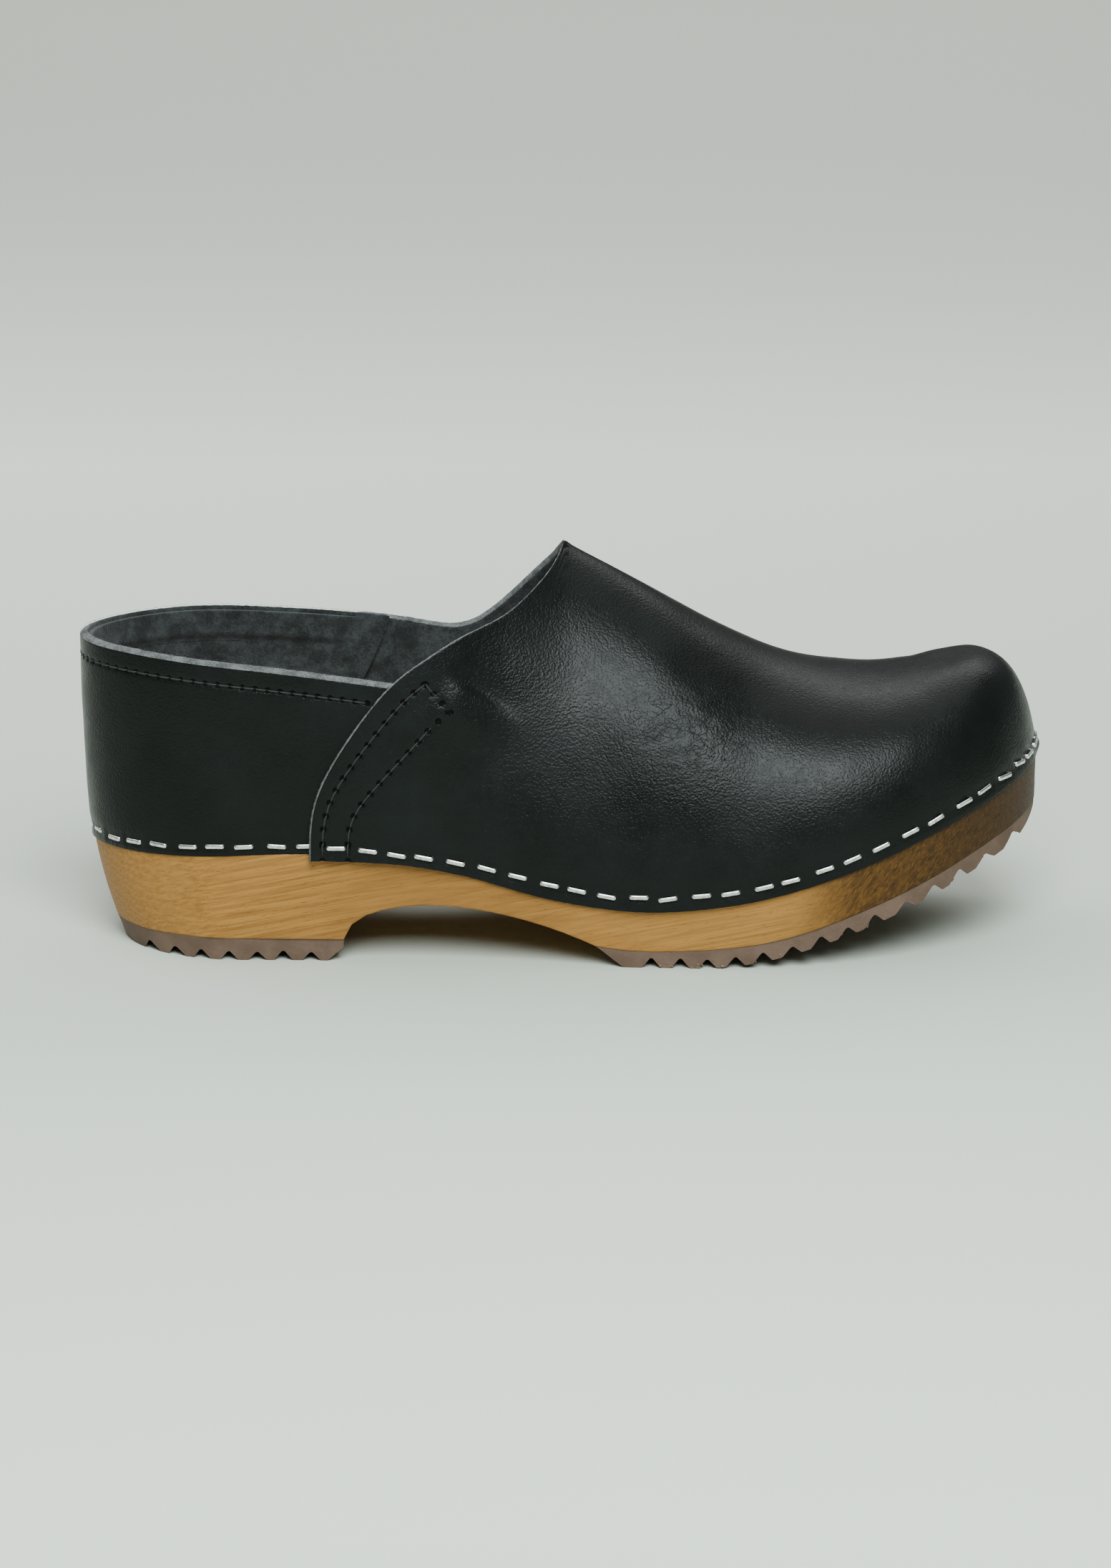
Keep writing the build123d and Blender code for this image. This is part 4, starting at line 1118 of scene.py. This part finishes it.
def make_treads():
    rubber = rubber_material("tread_rubber", (0.099, 0.061, 0.041, 1), (0.148, 0.094, 0.067, 1))
    residue = rubber_material("buffing_residue", (0.12, 0.075, 0.04, 1), (0.24, 0.165, 0.105, 1))
    front = HEEL_TREAD_FRONT_X
    back = TREAD_BACK[1] + 0.05
    xs = np.concatenate([back + (HEEL_X - back) * (1 - np.cos(np.linspace(0, np.pi / 2, 150))),
                         np.arange(HEEL_X + 0.2, front + 0.01, 0.2)])

    def heel_under(x):
        return max((x - (front - HEEL_BEVEL_LONG)) / HEEL_BEVEL_LONG * HEEL_BEVEL_TALL, 0.0)

    heel_grooves = [front - HEEL_GROOVE_SETBACK - k * TOOTH_PITCH for k in range(HEEL_GROOVES)]
    make_tread("heel_tread_rubber", "heel_tread", xs, heel_under, lambda x: TREAD_TOP, heel_grooves, 3,
               rubber)
    end = TOE_TIP_X - 0.05
    toe = BALL_X + (end - BALL_X) * np.sin(np.linspace(0, np.pi / 2, 260))
    xs = np.concatenate([np.arange(FOREPART_X, BALL_X, 0.22), toe])
    fore_grooves = [FOREPART_GROOVE_X + k * TOOTH_PITCH for k in range(FOREPART_GROOVES)]
    make_tread("forepart_tread_rubber", "forepart_tread", xs, tread_under, lambda x: float(wood_bottom(x)),
               fore_grooves, 5, rubber)
    rng = np.random.default_rng(17)
    spots, sizes = [], []
    for g in fore_grooves[:-1]:
        for side in SIDES:
            for _ in range(9):
                x = g + TOOTH_PITCH / 2 + rng.normal() * 0.9 + 0.6
                y = float(outline_y(min(x, 258), side, -SIDE_TAPER * 0.9)) - side * abs(rng.normal()) * 0.7
                z = tread_under(x) + 0.35 + abs(rng.normal()) * 0.5
                spots.append((x, y, z))
                sizes.append(rng.uniform(0.16, 0.42))
    make_crumbs("tread_crumbs", spots, sizes, residue, 19)


# ---------------- stage


FLOOR_REACH, FLOOR_CELLS = 7.0, 40
FLOOR_TINT = (0.920, 1.0, 0.880)
# painted light and shade on the floor by depth: darker far in front, a painted shadow round the shoe, and a
# painted band of light behind it
FLOOR_PAINTED_LIGHT_AND_SHADE = [(0.0, 0.30), (0.07, 0.425), (0.114, 0.70), (0.162, 0.68), (0.184, 0.64), (0.202, 0.64),
               (0.25, 0.75), (0.336, 1.0), (0.42, 0.88), (0.48, 0.85), (0.67, 0.86), (1.0, 0.83)]


def make_floor():
    """A wide pale floor, darker far in front, with a painted shadow round the shoe and a painted band of
    light behind it.
    """
    mesh = bpy.data.meshes.new("floor")
    count = FLOOR_CELLS + 1
    line = np.linspace(-FLOOR_REACH, FLOOR_REACH, count)
    grid = np.stack(np.meshgrid(line, line, indexing="ij") + [np.zeros((count, count))], axis=-1)
    mesh.from_pydata(grid.reshape(-1, 3).tolist(), [], grid_quads(count, count)[:, ::-1].tolist())
    m = Finish("pale_floor")
    depth = m.part(m.node("TexCoord").outputs["Object"], "Y")
    ramp = m.node("ValToRGB", {0: m.spread(depth, -1.0, 4.0, kind="LINEAR")})
    elements = ramp.color_ramp.elements
    for stop, (position, level) in zip(elements, (FLOOR_PAINTED_LIGHT_AND_SHADE[0], FLOOR_PAINTED_LIGHT_AND_SHADE[-1])):
        stop.position, stop.color = position, grey(level, FLOOR_TINT)
    for position, level in FLOOR_PAINTED_LIGHT_AND_SHADE[1:-1]:
        elements.new(position).color = grey(level, FLOOR_TINT)
    inputs = {"Base Color": ramp.outputs[0], "Roughness": 0.9, "Specular IOR Level": 0.1}
    mesh.materials.append(m.done(inputs))
    floor = bpy.data.objects.new("floor", mesh)
    bpy.context.scene.collection.objects.link(floor)


def aim_object(item, place, back):
    """Puts a light or the camera at a place, with its back this way."""
    bpy.context.scene.collection.objects.link(item)
    item.location = place
    item.rotation_mode = "QUATERNION"
    item.rotation_quaternion = (-back).to_track_quat("-Z", "Y")


def add_area(name, place, target, size, energy, colour=(1, 1, 1)):
    light = bpy.data.lights.new(name, "AREA")
    light.shape, light.size, light.size_y = "RECTANGLE", size[0], size[1]
    light.energy, light.color = energy, colour
    aim_object(bpy.data.objects.new(name, light), place, Vector(place) - Vector(target))


def make_lights():
    add_area("softbox", (0.10, -0.88, 0.92), (0, 0, 0.05), (0.62, 0.80), 28.5, (0.92, 1.0, 1.0))
    add_area("overhead", (-0.15, 0.40, 1.65), (0, 0, 0.04), (2.4, 1.8), 18.0)
    add_area("back_left", (-0.90, 0.55, 0.90), (0, 0, 0.04), (0.8, 0.6), 4.0)
    add_area("far_floor", (0.0, 2.8, 2.2), (0, 3.0, 0.0), (4.0, 1.6), 57.0)
    world = bpy.data.worlds.new("studio")
    world.use_nodes = True
    background = world.node_tree.nodes["Background"]
    background.inputs[0].default_value = (0.86, 0.90, 0.87, 1)
    background.inputs[1].default_value = 0.13
    bpy.context.scene.world = world


def make_camera():
    """A long lens, a little above the shoe's outer side."""
    distance, elevation, tall_side_px, focal_px = 1.4, math.radians(14.4), 2192, 7139
    aim = Vector(((130.1 + SHIFT[0]) * MM, SHIFT[1] * MM, 40.88 * MM))
    data = bpy.data.cameras.new("camera")
    data.sensor_width = 36.0
    data.lens = data.sensor_width * focal_px / tall_side_px
    data.clip_start = 0.05
    camera = bpy.data.objects.new("camera", data)
    back = Vector((0.0, -math.cos(elevation), math.sin(elevation)))
    aim_object(camera, aim + back * distance, back)
    bpy.context.scene.camera = camera


# ---------------- assembly


def main():
    grain = grain_leather()
    flesh = flesh_side("flesh_side", grey(0.010, (0.86, 1.04, 1.02)), grey(0.052, (0.86, 1.04, 1.02)))
    edge = cut_edge("cut_edge", grey(0.050, (0.95, 1.02, 1.03)), grey(0.17, (0.96, 1.02, 1.02)))
    dark_edge = cut_edge("dark_edge", grey(0.008), grey(0.03))
    thread, steel = thread_material(), staple_material()
    upper = [grain, flesh, edge, dark_edge]

    front, behind, rows = make_vamp(upper)
    q_front, q_behind, row = make_quarter(upper)
    make_band([flesh, flesh, edge, dark_edge])
    middle = np.array([100.0, 0.0, 60.0])
    for side in SIDES:
        name = SIDE_NAME[side] + "_seam"
        make_stitches(name + "_stitches", rows[side], SEAM_PITCH, name + "_thread", thread, middle)
    inside = np.array([HEEL_X, 0.0, 79.0])
    make_stitches("topline_stitches", [row], TOPLINE_PITCH, "topline_thread", thread, inside)
    make_staples("vamp_staple_wires", True, "vamp_staples", steel)
    make_staples("quarter_staple_wires", False, "quarter_staples", steel)

    peak, end = THROAT_COLUMNS, front.shape[1] - 1 - THROAT_COLUMNS
    top = VAMP_ROWS - 1
    whole, outer_top, inner_top = slice(None), slice(0, peak), slice(end, None)
    for name, line, further, count, longest in (
            ("lap_fibres_outer", (whole, 0), (whole, 1), 420, 0.75),
            ("throat_fibres_outer", (top, outer_top), (top - 1, outer_top), 500, 0.55),
            ("throat_fibres_inner", (top, inner_top), (top - 1, inner_top), 900, 0.9),
            ("lap_fibres_inner", (whole, -1), (whole, -2), 300, 0.6)):
        roots, ways = edge_roots(front, behind, line, further, count, 51)
        make_fibres(name, roots, ways, longest, 0.05, edge if "outer" in name else dark_edge, 52)
    roots, ways = edge_roots(q_front, q_behind, (-1, whole), (-2, whole), 1500, 61)
    make_fibres("rim_fibres", roots + np.array([0, 0, 0.75]), ways, 0.5, 0.05, edge, 62)
    make_treads()
    wood = wood_material()
    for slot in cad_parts["wood_sole"].material_slots:
        slot.material = wood
    make_floor()
    make_lights()
    make_camera()


main()
